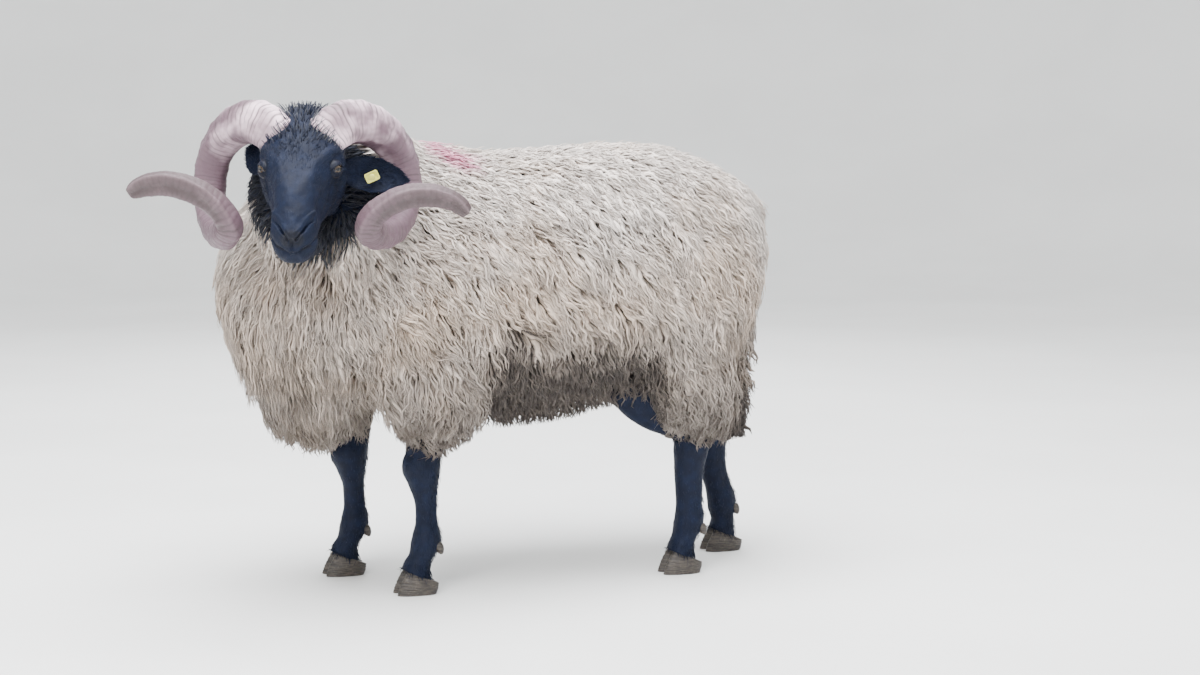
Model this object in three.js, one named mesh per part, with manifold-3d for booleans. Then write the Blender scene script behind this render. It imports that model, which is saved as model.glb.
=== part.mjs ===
// A horned, black-faced mountain ram in full fleece, standing square with its head turned to
// its left. Millimetres. +X is the way the body faces, +Y is the ram's left, +Z is up, and the
// soles of the claws lie on the floor at 0. The solids reach out to the tips of the coat.
import * as THREE from 'three';
import { LoftGeometry } from 'three/addons/geometries/LoftGeometry.js';
import { mergeVertices } from 'three/addons/utils/BufferGeometryUtils.js';
import Module from 'manifold-3d';

const wasm = await Module();
wasm.setup();

// ---------------------------------------------------------------- driving dimensions
const GAP = 0.3; // clearance between neighbouring nodes
const MIDDLE = { x: 170.8, y: 93.5 }; // centre of the bounding box, measured from mid-stance

// Head: its own frame starts midway between the eyes, +X to the muzzle, +Z out of the brow.
const HEAD = { x: 507, y: 294, z: 715, turn: 70, bow: 35 };
const EYE = { radius: 14.5, x: 2, y: 49.5, z: 11 };

// Legs: cannon axis of each leg on the floor plan, and the share it takes of the trailing lean.
const FORE_LEFT = { x: 257, y: 100 };
const FORE_RIGHT = { x: 331, y: -100 };
const HIND_LEFT = { x: -228, y: 85, trail: 0 };
const HIND_RIGHT = { x: -378, y: -85, trail: 1 };
const CORONET = { height: 34, slope: -24 }; // hairline of the claws, degrees, rising to the toe

// ---------------------------------------------------------------- stations
// Every row is one cross-section: centre x, y, z, half-height over and under the widest line,
// half-width, and the squareness of the upper and lower half (2 is an ellipse).
const TRUNK = [
  [-386, 0, 590, 8, 10, 10, 2.0, 2.0],
  [-379, 0, 585, 50, 70, 62, 2.1, 2.0],
  [-354, 0, 560, 108, 140, 128, 2.2, 2.0],
  [-305, 0, 522, 185, 178, 186, 2.2, 2.0],
  [-230, 0, 500, 240, 184, 222, 2.2, 2.1],
  [-130, 0, 495, 260, 188, 236, 2.2, 2.2],
  [0, 0, 490, 256, 216, 243, 2.2, 2.2],
  [120, 0, 490, 252, 222, 243, 2.2, 2.2],
  [230, 0, 495, 262, 212, 238, 2.1, 2.1],
  [330, 0, 500, 266, 196, 228, 2.1, 2.0],
  [420, 0, 505, 226, 196, 208, 2.1, 2.0],
  [495, 0, 510, 176, 176, 176, 2.1, 2.0],
  [545, 0, 512, 120, 136, 130, 2.0, 2.0],
  [572, 0, 512, 62, 72, 72, 2.0, 2.0],
  [580, 0, 512, 11, 12, 13, 2.0, 2.0],
];
const NECK = [
  [215, -25, 560, 110, 110, 120, 2.0, 2.0],
  [290, 10, 595, 150, 150, 128, 2.0, 2.0],
  [365, 60, 635, 162, 150, 146, 2.0, 2.0],
  [425, 115, 665, 130, 135, 132, 2.0, 2.0],
  [462, 165, 685, 108, 120, 108, 2.0, 2.0],
  [480, 200, 697, 91, 104, 88, 2.0, 2.0],
  [486, 214, 700, 60, 80, 64, 2.0, 2.0],
];
const TAIL = [
  [-322, 0, 672, 14, 14, 16, 2.0, 2.0],
  [-362, 0, 650, 26, 26, 34, 2.0, 2.0],
  [-386, 0, 596, 26, 26, 44, 2.0, 2.0],
  [-376, 0, 520, 24, 24, 46, 2.0, 2.0],
  [-362, 0, 440, 24, 24, 44, 2.0, 2.0],
  [-358, 0, 370, 22, 22, 36, 2.0, 2.0],
  [-360, 0, 322, 14, 14, 22, 2.0, 2.0],
  [-361, 0, 306, 4, 4, 7, 2.0, 2.0],
];
// Head stations are in the head's own frame.
const SKULL = [
  [-128, 0, -38, 40, 40, 34, 2.0, 2.0],
  [-112, 0, -30, 62, 66, 50, 2.1, 2.0],
  [-85, 0, -20, 74, 86, 60, 2.3, 2.0],
  [-50, 0, -12, 72, 98, 64, 2.3, 1.9],
  [-15, 0, -9, 66, 96, 63.5, 2.3, 1.8],
  [15, 0, -10, 59, 87, 56.5, 2.3, 1.8],
  [45, 0, -13, 54, 73, 46, 2.2, 1.8],
  [75, 0, -17, 50, 60, 37.5, 2.2, 1.9],
  [102, 0, -21, 44, 48, 33, 2.3, 2.0],
  [124, 0, -25, 38, 40, 32, 2.3, 2.2],
  [140, 0, -28, 31, 34, 31, 2.3, 2.4],
  [149, 0, -29.5, 23, 27, 26, 2.3, 2.4],
  [154, 0, -30, 11, 14, 15, 2.1, 2.2],
];
// Swellings and hollows of the head: place in the head's frame, reach and height.
const MODELLING = [
  { name: 'orbit', at: [-16, 66, 18], reach: 20, height: 3 },
  { name: 'brow', at: [-2, 56, 44], reach: 16, height: 3 },
  { name: 'cheek', at: [-30, 50, -62], reach: 34, height: 7 },
  { name: 'jaw angle', at: [-58, 34, -100], reach: 30, height: 6 },
  { name: 'nose bridge', at: [78, 20, 34], reach: 34, height: 3 },
  { name: 'face hollow', at: [60, 40, 3], reach: 16, height: -3 },
  { name: 'nostril', at: [134, 26, 2], reach: 13, height: 3.5 },
  { name: 'lip', at: [128, 30, -40], reach: 15, height: 2 },
  { name: 'chin', at: [131, 8, -58], reach: 17, height: 5 },
  { name: 'chin groove', at: [100, 22, -58], reach: 15, height: -4 },
];
// Horn stations are level with the floor and start midway between the eyes: forward, outward
// and up, then half-thickness away from and towards the coil's middle, and half-width.
const HORN_COIL = { forward: -38, up: -8 };
const HORN_BEND = [
  [-24, 18, 32, 30, 30, 22],
  [-30, 44, 66, 34, 34, 25],
  [-52, 74, 80, 35, 33, 28],
  [-86, 112, 68, 33, 31, 28],
  [-114, 140, 34, 31, 29, 27],
  [-124, 152, -12, 29, 27, 26],
  [-110, 150, -56, 27, 25, 25],
  [-74, 137, -86, 25, 23, 24],
  [-30, 121, -95, 24, 22, 23],
  [8, 110, -90, 23, 21, 22],
];
const HORN_END_LEFT = [
  [34, 108, -78, 21, 20, 21],
  [47, 122, -57, 18, 18, 20],
  [53, 162, -35, 15, 14, 19.5],
  [51, 203, -31, 12, 12, 19],
  [46, 238, -40, 10, 10, 16.5],
  [42, 258, -56, 8, 8, 12],
];
const HORN_END_RIGHT = [
  [34, 106, -76, 21, 20, 21],
  [47, 124, -46, 18, 18, 20.5],
  [55, 156, -24, 15, 15, 21],
  [55, 195, -13, 13, 13, 20],
  [49, 230, -16, 11, 11, 18],
  [45, 254, -26, 8, 8, 12],
];
// Fleece lobes round the upper legs, from the top down: offset forward and outward from the
// leg, height, then reach forward, back and sideways.
const SHOULDER_LEFT = [
  [10, 40, 600, 60, 60, 60], [8, 26, 530, 105, 100, 90], [4, 22, 450, 118, 112, 98],
  [0, 24, 380, 112, 114, 100], [-4, 22, 325, 100, 110, 90], [0, 16, 282, 78, 86, 68],
  [6, 10, 248, 46, 50, 40], [8, 8, 234, 12, 12, 12],
];
const SHOULDER_RIGHT = [
  [20, 40, 600, 60, 60, 60], [20, 26, 530, 116, 100, 90], [24, 18, 450, 146, 112, 96],
  [32, 12, 380, 150, 104, 92], [42, 6, 325, 134, 88, 88], [48, -2, 278, 106, 74, 76],
  [48, -4, 240, 70, 54, 52], [44, -2, 218, 18, 16, 14],
];
const THIGH_LEFT = [
  [70, 50, 600, 60, 60, 50], [60, 45, 520, 110, 100, 85], [44, 42, 440, 112, 102, 90],
  [20, 38, 370, 102, 92, 78], [-4, 32, 315, 96, 76, 68], [-14, 24, 270, 76, 62, 52],
  [-22, 20, 242, 42, 44, 34], [-24, 20, 230, 10, 10, 10],
];
const THIGH_RIGHT = [
  [86, 50, 600, 60, 50, 50], [76, 45, 520, 110, 76, 85], [60, 42, 440, 112, 86, 90],
  [38, 38, 370, 98, 84, 78], [22, 30, 315, 76, 68, 62], [8, 22, 262, 52, 56, 48],
  [-4, 18, 226, 32, 42, 36], [-16, 16, 204, 12, 16, 12],
];
// How far the trailing hind leg leans forward of an upright one at each of its rows.
const TRAILING = [12, 26, 38, 44, 43, 41, 38, 32, 24, 18, 13, 4, 0, 0];
const TAG_FRONT = -50; // how far before the eyes' midpoint the plate's back face stands
const RIDGE = { count: 20, height: 1.6 }; // growth rings round each horn
const EAR_LEFT = { root: [-52, 56, 6], tip: [-64, 158, -12] };
const EAR_RIGHT = { root: [-54, 56, 12], tip: [-122, 98, 34] };
const TAG = { out: 106, up: -6, length: 22, height: 16, thick: 1.8, tilt: 24, corner: 3, pin: 2.2 };

// ---------------------------------------------------------------- lofting
const vector = (x, y, z) => new THREE.Vector3(x, y, z);

/** Smooth table: the rows sampled at an even share t of the way along them. */
function table(rows) {
  const size = rows[0].length;
  const knots = rows.map((row, index) => index);
  const curve = new THREE.CubicInterpolant(knots, rows.flat(), size);
  return (t) => Array.from(curve.evaluate(t * (rows.length - 1)));
}

/**
 * Closed loft through stations. options.side says where each section's +width points and
 * options.facing fixes the way the sections face, which otherwise follow the path.
 */
function loft(stations, rows, columns, options = {}) {
  const { shape = (point) => point, matrix = null, facing = null } = options;
  const at = table(stations);
  const place = (t) => vector(...at(THREE.MathUtils.clamp(t, 0, 1)));
  const sections = [];
  for (let row = 0; row <= rows; row++) {
    const t = row / rows;
    const [, , , over, under, width, squareOver, squareUnder] = at(t);
    const centre = place(t);
    const along = facing ?? place(t + 0.01).sub(place(t - 0.01)).normalize();
    const side = options.side ? options.side(centre, along) : vector(0, 1, 0);
    const up = along.clone().cross(side).normalize();
    const across = up.clone().cross(along).normalize();
    const ring = [];
    for (let column = 0; column < columns; column++) {
      const angle = (2 * Math.PI * column) / columns;
      const c = Math.cos(angle);
      const s = Math.sin(angle);
      const square = s > 0 ? squareOver : squareUnder;
      const reach = (Math.abs(c) ** square + Math.abs(s) ** square) ** (-1 / square);
      const out = reach * c * width;
      const rise = reach * s * (s > 0 ? over : under);
      const point = centre.clone().addScaledVector(across, out).addScaledVector(up, rise);
      ring.push(shape(point, t, angle, centre));
    }
    sections.push(ring);
  }
  const geometry = new LoftGeometry(sections, { capStart: true, capEnd: true });
  if (matrix) geometry.applyMatrix4(matrix);
  return geometry;
}

/** Six times the signed volume inside an indexed geometry. */
function signedVolume(position, index) {
  let sum = 0;
  const [a, b, c] = [vector(0, 0, 0), vector(0, 0, 0), vector(0, 0, 0)];
  for (let i = 0; i < index.count; i += 3) {
    a.fromBufferAttribute(position, index.getX(i));
    b.fromBufferAttribute(position, index.getX(i + 1));
    c.fromBufferAttribute(position, index.getX(i + 2));
    sum += a.dot(b.cross(c));
  }
  return sum;
}

/** Geometry to a solid that can be joined and cut: faces turned outward, then grown. */
function solid(geometry, grow = 0) {
  const bare = new THREE.BufferGeometry().copy(geometry);
  bare.deleteAttribute('normal');
  bare.deleteAttribute('uv');
  const welded = mergeVertices(bare, 1e-4);
  const corners = Uint32Array.from(welded.index.array);
  if (signedVolume(welded.attributes.position, welded.index) < 0) {
    for (let i = 0; i < corners.length; i += 3) {
      [corners[i + 1], corners[i + 2]] = [corners[i + 2], corners[i + 1]];
    }
  }
  welded.setIndex(new THREE.BufferAttribute(corners, 1));
  welded.computeVertexNormals();
  const { position, normal } = welded.attributes;
  const point = vector(0, 0, 0);
  const outward = vector(0, 0, 0);
  for (let i = 0; grow > 0 && i < position.count; i++) {
    point.fromBufferAttribute(position, i);
    outward.fromBufferAttribute(normal, i);
    point.addScaledVector(outward, grow);
    position.setXYZ(i, point.x, point.y, point.z);
  }
  const vertProperties = Float32Array.from(position.array);
  return new wasm.Manifold(new wasm.Mesh({ numProp: 3, vertProperties, triVerts: corners }));
}

/** The biggest piece of a body that a cut has left in several. */
function main(body) {
  const pieces = body.decompose();
  return pieces.reduce((best, piece) => (piece.volume() > best.volume() ? piece : best));
}

/** Everything above (or below) a tilted floor, as a large block. */
function halfSpace(x, y, z, slope, above) {
  const block = new THREE.BoxGeometry(400, 400, 400);
  block.translate(0, 0, above ? 200 : -200);
  block.rotateY(THREE.MathUtils.degToRad(slope));
  block.translate(x, y, z);
  return solid(block);
}

// ---------------------------------------------------------------- head frame
const toHead = new THREE.Matrix4()
  .makeTranslation(HEAD.x, HEAD.y, HEAD.z)
  .multiply(new THREE.Matrix4().makeRotationZ(THREE.MathUtils.degToRad(HEAD.turn)));
const toFace = toHead
  .clone()
  .multiply(new THREE.Matrix4().makeRotationY(THREE.MathUtils.degToRad(HEAD.bow)));

/** Push a point of the skull in or out by every swelling near it, on both sides. */
function modelled(point, t, angle, centre) {
  const outward = point.clone().sub(centre).normalize();
  let lift = 0;
  for (const { at, reach, height } of MODELLING) {
    for (const side of [1, -1]) {
      const distance = point.distanceTo(vector(at[0], side * at[1], at[2]));
      lift += height * Math.exp(-((distance / reach) ** 2));
    }
  }
  return point.addScaledVector(outward, lift);
}

/** Skull, cheeks, jaw and muzzle. */
function skull(grow) {
  return solid(loft(SKULL, 21, 21, { shape: modelled, matrix: toFace }), grow);
}

/** Eyeball with the clear front standing a little proud. */
function eyeball(side, grow) {
  const ball = new THREE.SphereGeometry(EYE.radius + grow, 12, 8);
  ball.translate(EYE.x, side * EYE.y, EYE.z);
  ball.applyMatrix4(toFace);
  return solid(ball);
}

/** Coiled horn, thicker on each growth ring; side is +1 for the ram's left. */
function horn(side, spread, end, grow) {
  const bend = HORN_BEND.map(([forward, out, ...rest]) => [forward, out * spread, ...rest]);
  const rows = [...bend, ...end].map(([forward, out, up, outer, inner, width]) => [
    forward, side * out, up, outer, inner, width, 2.3, 2.3,
  ]);
  const away = (centre) => vector(centre.x - HORN_COIL.forward, 0, centre.z - HORN_COIL.up);
  const ridged = (point, t, angle, centre) => {
    const wave = 0.5 + 0.5 * Math.cos(2 * Math.PI * RIDGE.count * t ** 0.85);
    const swell = RIDGE.height * (1 - t) ** 0.5 * (wave - 0.5);
    const outward = point.clone().sub(centre).normalize();
    return point.addScaledVector(outward, swell);
  };
  const across = (centre, along) => along.clone().cross(away(centre)).negate();
  return solid(loft(rows, 37, 10, { side: across, shape: ridged, matrix: toHead }), grow);
}

/** Leaf-shaped ear: a shallow cup that opens forward, from its root to its tip. */
function ear(side, { root, tip }, grow) {
  const rows = [
    [0, 14, 12, 15], [0.14, 15, 4, 21], [0.35, 13, -6, 26], [0.55, 11, -5.5, 27],
    [0.75, 8, -3, 22], [0.9, 5, -1, 13], [1, 2, 1.5, 3],
  ].map(([share, back, front, width]) => [
    root[0] + (tip[0] - root[0]) * share,
    side * (root[1] + (tip[1] - root[1]) * share),
    root[2] + (tip[2] - root[2]) * share ,
    back, front, width, 2, 2,
  ]);
  const along = vector(tip[0] - root[0], side * (tip[1] - root[1]), tip[2] - root[2]).normalize();
  const upright = () => along.clone().cross(vector(1, 0, 0)).normalize();
  return solid(loft(rows, 9, 12, { side: upright, matrix: toHead }), grow);
}

/** Blank ear tag: a rounded plate before the ear, its pin through to a button behind. */
function tag(grow) {
  const half = { x: TAG.length / 2 - TAG.corner + grow, y: TAG.height / 2 - TAG.corner + grow };
  const outline = new THREE.Shape();
  outline.absarc(half.x, half.y, TAG.corner, 0, Math.PI / 2);
  outline.absarc(-half.x, half.y, TAG.corner, Math.PI / 2, Math.PI);
  outline.absarc(-half.x, -half.y, TAG.corner, Math.PI, 1.5 * Math.PI);
  outline.absarc(half.x, -half.y, TAG.corner, 1.5 * Math.PI, 2 * Math.PI);
  const plate = new THREE.ExtrudeGeometry(outline, {
    depth: TAG.thick + 2 * grow, bevelEnabled: false, curveSegments: 2,
  });
  plate.translate(0, 0, -grow);
  const pin = new THREE.CylinderGeometry(TAG.pin + grow, TAG.pin + grow, 22, 8);
  pin.rotateX(Math.PI / 2);
  pin.translate(0, 0, -10);
  const button = new THREE.CylinderGeometry(7 + grow, 7 + grow, 2 + 2 * grow, 10);
  button.rotateX(Math.PI / 2);
  button.translate(0, 0, -20);
  const place = new THREE.Matrix4()
    .makeTranslation(TAG_FRONT, TAG.out, TAG.up)
    .multiply(new THREE.Matrix4().makeRotationY(Math.PI / 2))
    .multiply(new THREE.Matrix4().makeRotationZ(THREE.MathUtils.degToRad(90 + TAG.tilt)));
  const pieces = [plate, pin, button].map((piece) => {
    piece.applyMatrix4(place);
    piece.applyMatrix4(toHead);
    return solid(piece);
  });
  return pieces[0].add(pieces[1]).add(pieces[2]);
}

// ---------------------------------------------------------------- legs
/** Bare foreleg from inside the fleece to the coronet: knee, cannon, fetlock, pastern. */
function foreleg({ x, y }) {
  const rows = [
    [-16, 400, 46, 46, 38], [-12, 330, 37, 38, 34], [-4, 272, 29, 30, 28],
    [1, 238, 30, 29, 31], [4, 212, 33, 28, 33], [3, 188, 25, 25, 27],
    [0, 160, 18, 20, 20], [-1, 122, 17, 20, 18.5], [0, 98, 20, 25, 22.5],
    [3, 80, 21, 25, 24], [9, 60, 19, 20, 23], [15, 44, 22, 22, 26], [19, 24, 25, 27, 28],
  ].map(([dx, z, front, back, width]) => [x + dx, y, z, front, back, width, 2.2, 2.2]);
  return solid(loft(rows, 13, 9)).add(dewclaws(x - 1, y, 84));
}

/** Bare hind leg from the gaskin to the coronet: hock with its point, cannon, pastern. */
function hindleg({ x, y, trail }) {
  const rows = [
    [92, 420, 76, 60, 44], [82, 352, 74, 50, 40], [54, 310, 62, 40, 35],
    [13, 272, 41, 36, 31], [-5, 246, 33, 38, 30], [-3, 220, 29, 32, 28],
    [0, 190, 26, 28, 24], [1, 152, 23, 25, 21.5], [1, 120, 22, 25, 21],
    [1, 98, 23, 27, 23.5], [4, 80, 23, 26, 24.5], [10, 60, 20, 21, 23.5],
    [15, 44, 22, 22, 26], [19, 24, 25, 27, 28],
  ].map(([dx, z, front, back, width], row) => [
    x + dx + trail * TRAILING[row], y, z, front, back, width, 2.2, 2.2,
  ]);
  return solid(loft(rows, 14, 9)).add(dewclaws(x + 14 * trail, y, 84));
}

/** The two small false claws behind a fetlock. */
function dewclaws(x, y, z) {
  const pair = [-1, 1].map((side) => {
    const nub = new THREE.ConeGeometry(8, 20, 6);
    nub.rotateX(Math.PI);
    nub.rotateY(THREE.MathUtils.degToRad(24));
    nub.translate(x - 21, y + side * 12, z - 8);
    return solid(nub);
  });
  return pair[0].add(pair[1]);
}

/** One claw of a cloven hoof, flat-soled, its toe pointing forward. */
function claw(x, y, side) {
  const rows = [
    [19, 0, 34, 33, 13.2], [17, 10, 33, 33, 13.4], [13, 24, 31, 31, 13.4], [8, 48, 25, 27, 12.4],
  ].map(([dx, z, toe, heel, width]) => [
    x + dx, y + side * 14.2, z, heel, toe, width, 2.5, 1.75,
  ]);
  return solid(loft(rows, 3, 12, { facing: vector(0, 0, 1) }));
}

/** Lower leg and its two claws, parted at the hairline. */
function foot(leg, { x, y }) {
  const cut = (offset, above) =>
    halfSpace(x + 15, y, CORONET.height + offset, CORONET.slope, above);
  const inside = cut(0, false);
  return {
    leg: leg.intersect(cut(GAP, true)),
    inner: claw(x, y, -Math.sign(y)).intersect(inside),
    outer: claw(x, y, Math.sign(y)).intersect(inside),
  };
}

/** A lobe of fleece hanging round an upper leg. */
function lobe(rows, { x, y }, grow) {
  const side = Math.sign(y);
  const stations = rows.map(([dx, dy, z, front, back, width]) => [
    x + dx, y + side * dy, z, front, back, width, 2, 2,
  ]);
  return solid(loft(stations, 10, 13), grow);
}

// ---------------------------------------------------------------- fleece
const level = (centre, along) => vector(0, 0, 1).cross(along);
const trunk = (grow) => solid(loft(TRUNK, 22, 21, { facing: vector(1, 0, 0) }), grow);
const neck = (grow) => solid(loft(NECK, 9, 17, { side: level }), grow);

// ---------------------------------------------------------------- nodes
const WOOL = { color: 0xcfc4b4, roughness: 0.95, metalness: 0 };
const HAIR = { color: 0x1b1d24, roughness: 0.85, metalness: 0 };
const HORN = { color: 0x9c8a80, roughness: 0.6, metalness: 0 };
const CLAW = { color: 0x2a2622, roughness: 0.55, metalness: 0 };
const GLASS = { color: 0x6a4a1c, roughness: 0.1, metalness: 0 };
const PLASTIC = { color: 0xd8c832, roughness: 0.5, metalness: 0 };

const model = new THREE.Group();
model.name = 'ram';

/** Add a solid to the model as one named mesh, moved to the bounding-box origin. */
function node(name, body, finish) {
  const { vertProperties, triVerts } = body.getMesh();
  const geometry = new THREE.BufferGeometry();
  geometry.setAttribute('position', new THREE.BufferAttribute(vertProperties, 3));
  geometry.setIndex(new THREE.BufferAttribute(triVerts, 1));
  geometry.translate(-MIDDLE.x, -MIDDLE.y, 0);
  geometry.computeVertexNormals();
  const mesh = new THREE.Mesh(geometry, new THREE.MeshStandardMaterial(finish));
  mesh.name = name;
  model.add(mesh);
}

const eyes = { left: eyeball(1, 0), right: eyeball(-1, 0) };
const sockets = eyeball(1, GAP).add(eyeball(-1, GAP));
const hornsGrown = horn(1, 1, HORN_END_LEFT, GAP).add(horn(-1, 1.05, HORN_END_RIGHT, GAP));
const headGrown = skull(GAP);
const head = skull(0).subtract(sockets);
const trunkGrown = trunk(GAP);
const earLeft = ear(1, EAR_LEFT, 0).subtract(headGrown).subtract(hornsGrown)
  .subtract(tag(GAP));
const earRight = ear(-1, EAR_RIGHT, 0).subtract(headGrown).subtract(hornsGrown);
const earsGrown = ear(1, EAR_LEFT, GAP).add(ear(-1, EAR_RIGHT, GAP));

node('trunk', trunk(0).subtract(hornsGrown), WOOL);
node('neck', neck(0).subtract(trunkGrown).subtract(headGrown).subtract(hornsGrown)
  .subtract(earsGrown), WOOL);
node('head', head, HAIR);
node('horn_left', horn(1, 1, HORN_END_LEFT, 0).subtract(headGrown), HORN);
node('horn_right', horn(-1, 1.05, HORN_END_RIGHT, 0).subtract(headGrown), HORN);
node('ear_left', main(earLeft), HAIR);
node('ear_right', main(earRight), HAIR);
node('ear_tag', tag(0), PLASTIC);
node('eye_left', eyes.left, GLASS);
node('eye_right', eyes.right, GLASS);
node('tail', main(solid(loft(TAIL, 9, 10)).subtract(trunkGrown)), WOOL);

const LEGS = [
  ['foreleg_left', FORE_LEFT, foreleg, SHOULDER_LEFT],
  ['foreleg_right', FORE_RIGHT, foreleg, SHOULDER_RIGHT],
  ['hindleg_left', HIND_LEFT, hindleg, THIGH_LEFT],
  ['hindleg_right', HIND_RIGHT, hindleg, THIGH_RIGHT],
];
for (const [name, stand, bare, fleece] of LEGS) {
  const { leg, inner, outer } = foot(bare(stand), stand);
  const upper = main(lobe(fleece, stand, 0).subtract(trunkGrown));
  node(`${name}_upper`, upper, WOOL);
  const lower = main(leg.subtract(trunkGrown).subtract(lobe(fleece, stand, GAP)));
  node(`${name}_lower`, lower, HAIR);
  node(`${name}_claw_inner`, inner, CLAW);
  node(`${name}_claw_outer`, outer, CLAW);
}

export default model;
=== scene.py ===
import math

import bpy
import numpy as np
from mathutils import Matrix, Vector
from mathutils.bvhtree import BVHTree
from mathutils.kdtree import KDTree


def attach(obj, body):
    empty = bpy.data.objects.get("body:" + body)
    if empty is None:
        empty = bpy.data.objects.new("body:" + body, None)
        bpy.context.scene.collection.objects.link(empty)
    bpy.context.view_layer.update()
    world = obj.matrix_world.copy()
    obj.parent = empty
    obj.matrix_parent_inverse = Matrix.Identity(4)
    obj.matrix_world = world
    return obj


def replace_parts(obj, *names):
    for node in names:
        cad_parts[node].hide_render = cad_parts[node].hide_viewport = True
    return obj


# A horned, black-faced mountain ram in full fleece: one skin in place of the flesh nodes, a coat of
# meshed locks and tufts over it, and finer eyes, horns, claws and ear tag. Shapes are worked out in
# millimetres in the ram's own frame (floor at 0, +X ahead, +Y its left, +Z up, middle of its stance
# at the origin) and move to the row frame, in metres, when a mesh is made.
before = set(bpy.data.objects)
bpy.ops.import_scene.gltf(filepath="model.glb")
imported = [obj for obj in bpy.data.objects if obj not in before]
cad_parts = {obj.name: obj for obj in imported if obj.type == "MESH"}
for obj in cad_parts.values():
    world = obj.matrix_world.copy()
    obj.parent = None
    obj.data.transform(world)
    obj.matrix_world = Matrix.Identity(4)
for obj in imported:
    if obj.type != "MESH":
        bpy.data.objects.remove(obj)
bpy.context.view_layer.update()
rng = np.random.default_rng(11)

MIDDLE = np.array([170.8, 93.5, 0.0])  # the row's origin in the ram's frame, amid the CAD box
HEAD = np.array([507.0, 294.0, 715.0])  # midway between the eyes
HEAD_TURN, HEAD_BOW = math.radians(70), math.radians(35)
STANDS = {  # cannon axis of each leg on the floor plan
    "foreleg_left": (257, 100),
    "foreleg_right": (331, -100),
    "hindleg_left": (-228, 85),
    "hindleg_right": (-378, -85),
}
FLEECED = ["trunk", "neck", "tail"] + [f"{leg}_upper" for leg in STANDS]
FLESH = FLEECED + ["head", "ear_left", "ear_right"] + [f"{leg}_lower" for leg in STANDS]

# ---- stations
# Every row is one cross-section: centre x, y, z, half-height over and under the widest line,
# half-width, and the squareness of the upper and lower half (2 is an ellipse).
SKULL = [  # in the face's frame: +X to the muzzle, +Z out of the brow, from between the eyes
    (-128, 0, -38, 40, 40, 34, 2.0, 2.0),
    (-112, 0, -30, 62, 66, 50, 2.1, 2.0),
    (-85, 0, -20, 74, 86, 60, 2.3, 2.0),
    (-50, 0, -12, 72, 98, 64, 2.3, 1.9),
    (-15, 0, -9, 66, 96, 63.5, 2.3, 1.8),
    (15, 0, -10, 59, 87, 56.5, 2.3, 1.8),
    (45, 0, -13, 54, 73, 46, 2.2, 1.8),
    (75, 0, -17, 50, 60, 37.5, 2.2, 1.9),
    (102, 0, -21, 44, 48, 33, 2.3, 2.0),
    (124, 0, -25, 38, 40, 32, 2.3, 2.2),
    (140, 0, -28, 31, 34, 31, 2.3, 2.4),
    (149, 0, -29.5, 23, 27, 26, 2.3, 2.4),
    (154, 0, -30, 11, 14, 15, 2.1, 2.2),
    (155, 0, -30.5, 2, 2, 3, 2.0, 2.0),
]
SWELLINGS = [  # place on the left of the face, reach, height
    ((-30, 50, -62), 34, 7), ((-58, 34, -100), 30, 6), ((78, 20, 34), 34, 3), ((-16, 66, 18), 20, 3),
    ((128, 30, -40), 15, 2), ((131, 8, -58), 17, 5), ((100, 22, -58), 15, -4), ((134, 26, 2), 13, 3.5),
    ((150, 22, -30), 16, 1.5),
]
FEATURES = [  # creases and ridges on the left of the face: the line, its reach, its height
    # mouth, lips and chin
    ([(155, 0, -28), (148, 16, -29), (140, 25, -31)], 2.2, -3.6),
    ([(140, 25, -31), (128, 32, -33), (114, 34, -36), (101, 34, -38)], 2.0, -2.4),
    ([(154, 5, -20), (146, 20, -21), (131, 32, -24), (114, 34, -27)], 6.0, 1.2),
    ([(152, 0, -37), (143, 18, -39), (128, 31, -42), (110, 32, -46)], 6.0, 1.6),
    ([(100, 34, -44), (93, 34, -36), (97, 34, -28)], 6.0, 1.2),
    ([(155, 0, -9), (156, 0, -25)], 2.2, -2.8),
    # nostril: slit, deep middle and outer end, with the wing above and the pad between the two
    ([(155, 6.5, -11), (153, 11, -6), (149, 16, -2), (144, 20.5, 0)], 2.3, -5.0),
    ([(150, 15, -3), (145, 19.5, 0), (140, 22.5, -1), (137, 25, -4)], 3.4, -8.0),
    ([(152, 7, 3), (145, 14, 8), (137, 20, 9), (131, 25, 4)], 5.0, 2.4),
    ([(154, 13, -14), (147, 21, -11), (140, 27, -11)], 4.5, 1.2),
    ([(126, 0, 14), (140, 8, 9), (146, 17, 6)], 5.0, -1.2),
    # eye surrounds
    ([(20, 55, 3), (32, 50, -7), (44, 45, -16)], 5.0, -2.4),
    ([(-16, 62, 28), (2, 60, 36), (20, 54, 32)], 3.6, -2.4),
    ([(-26, 60, 30), (-2, 56, 44), (26, 46, 40)], 9.0, 3.4),
    ([(-12, 64, -12), (6, 62, -13), (20, 57, -8)], 3.4, -1.8),
    # cheek, nose bridge and brow
    ([(-20, 58, -20), (12, 52, -52), (-8, 48, -88), (-50, 40, -105)], 10.0, 2.6),
    ([(20, 30, 42), (70, 25, 35), (108, 23, 22), (124, 20, 12)], 8.0, 2.6),
    ([(26, 0, 48), (80, 0, 38), (114, 0, 24)], 10.0, -1.6),
    ([(34, 46, 2), (62, 40, 4), (96, 35, -4)], 12.0, -4.0),
    ([(30, 52, -36), (60, 44, -38), (88, 38, -38)], 8.0, 2.4),
    ([(30, 50, -56), (62, 40, -56), (92, 32, -54)], 10.0, -3.0),
]
EYE = np.array([2.0, 49.5, 11.0])  # the left eyeball's centre in the face's frame
EYE_RADIUS = 14.5
GAZE_FORWARD, SLIT_TURN, PUPIL_TURN = math.radians(36), math.radians(26), math.radians(33)
SLIT = (11.4, 6.2)  # half-length and half-height of the opening between the lids
SOCKET_GAP = 0.25  # between the eyeball and the socket behind it
RIM_THICK, RIM_OUT = 1.25, 1.2  # the lids' moist edge: its radius, and how far before the eyeball
LID = 2.3

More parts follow.
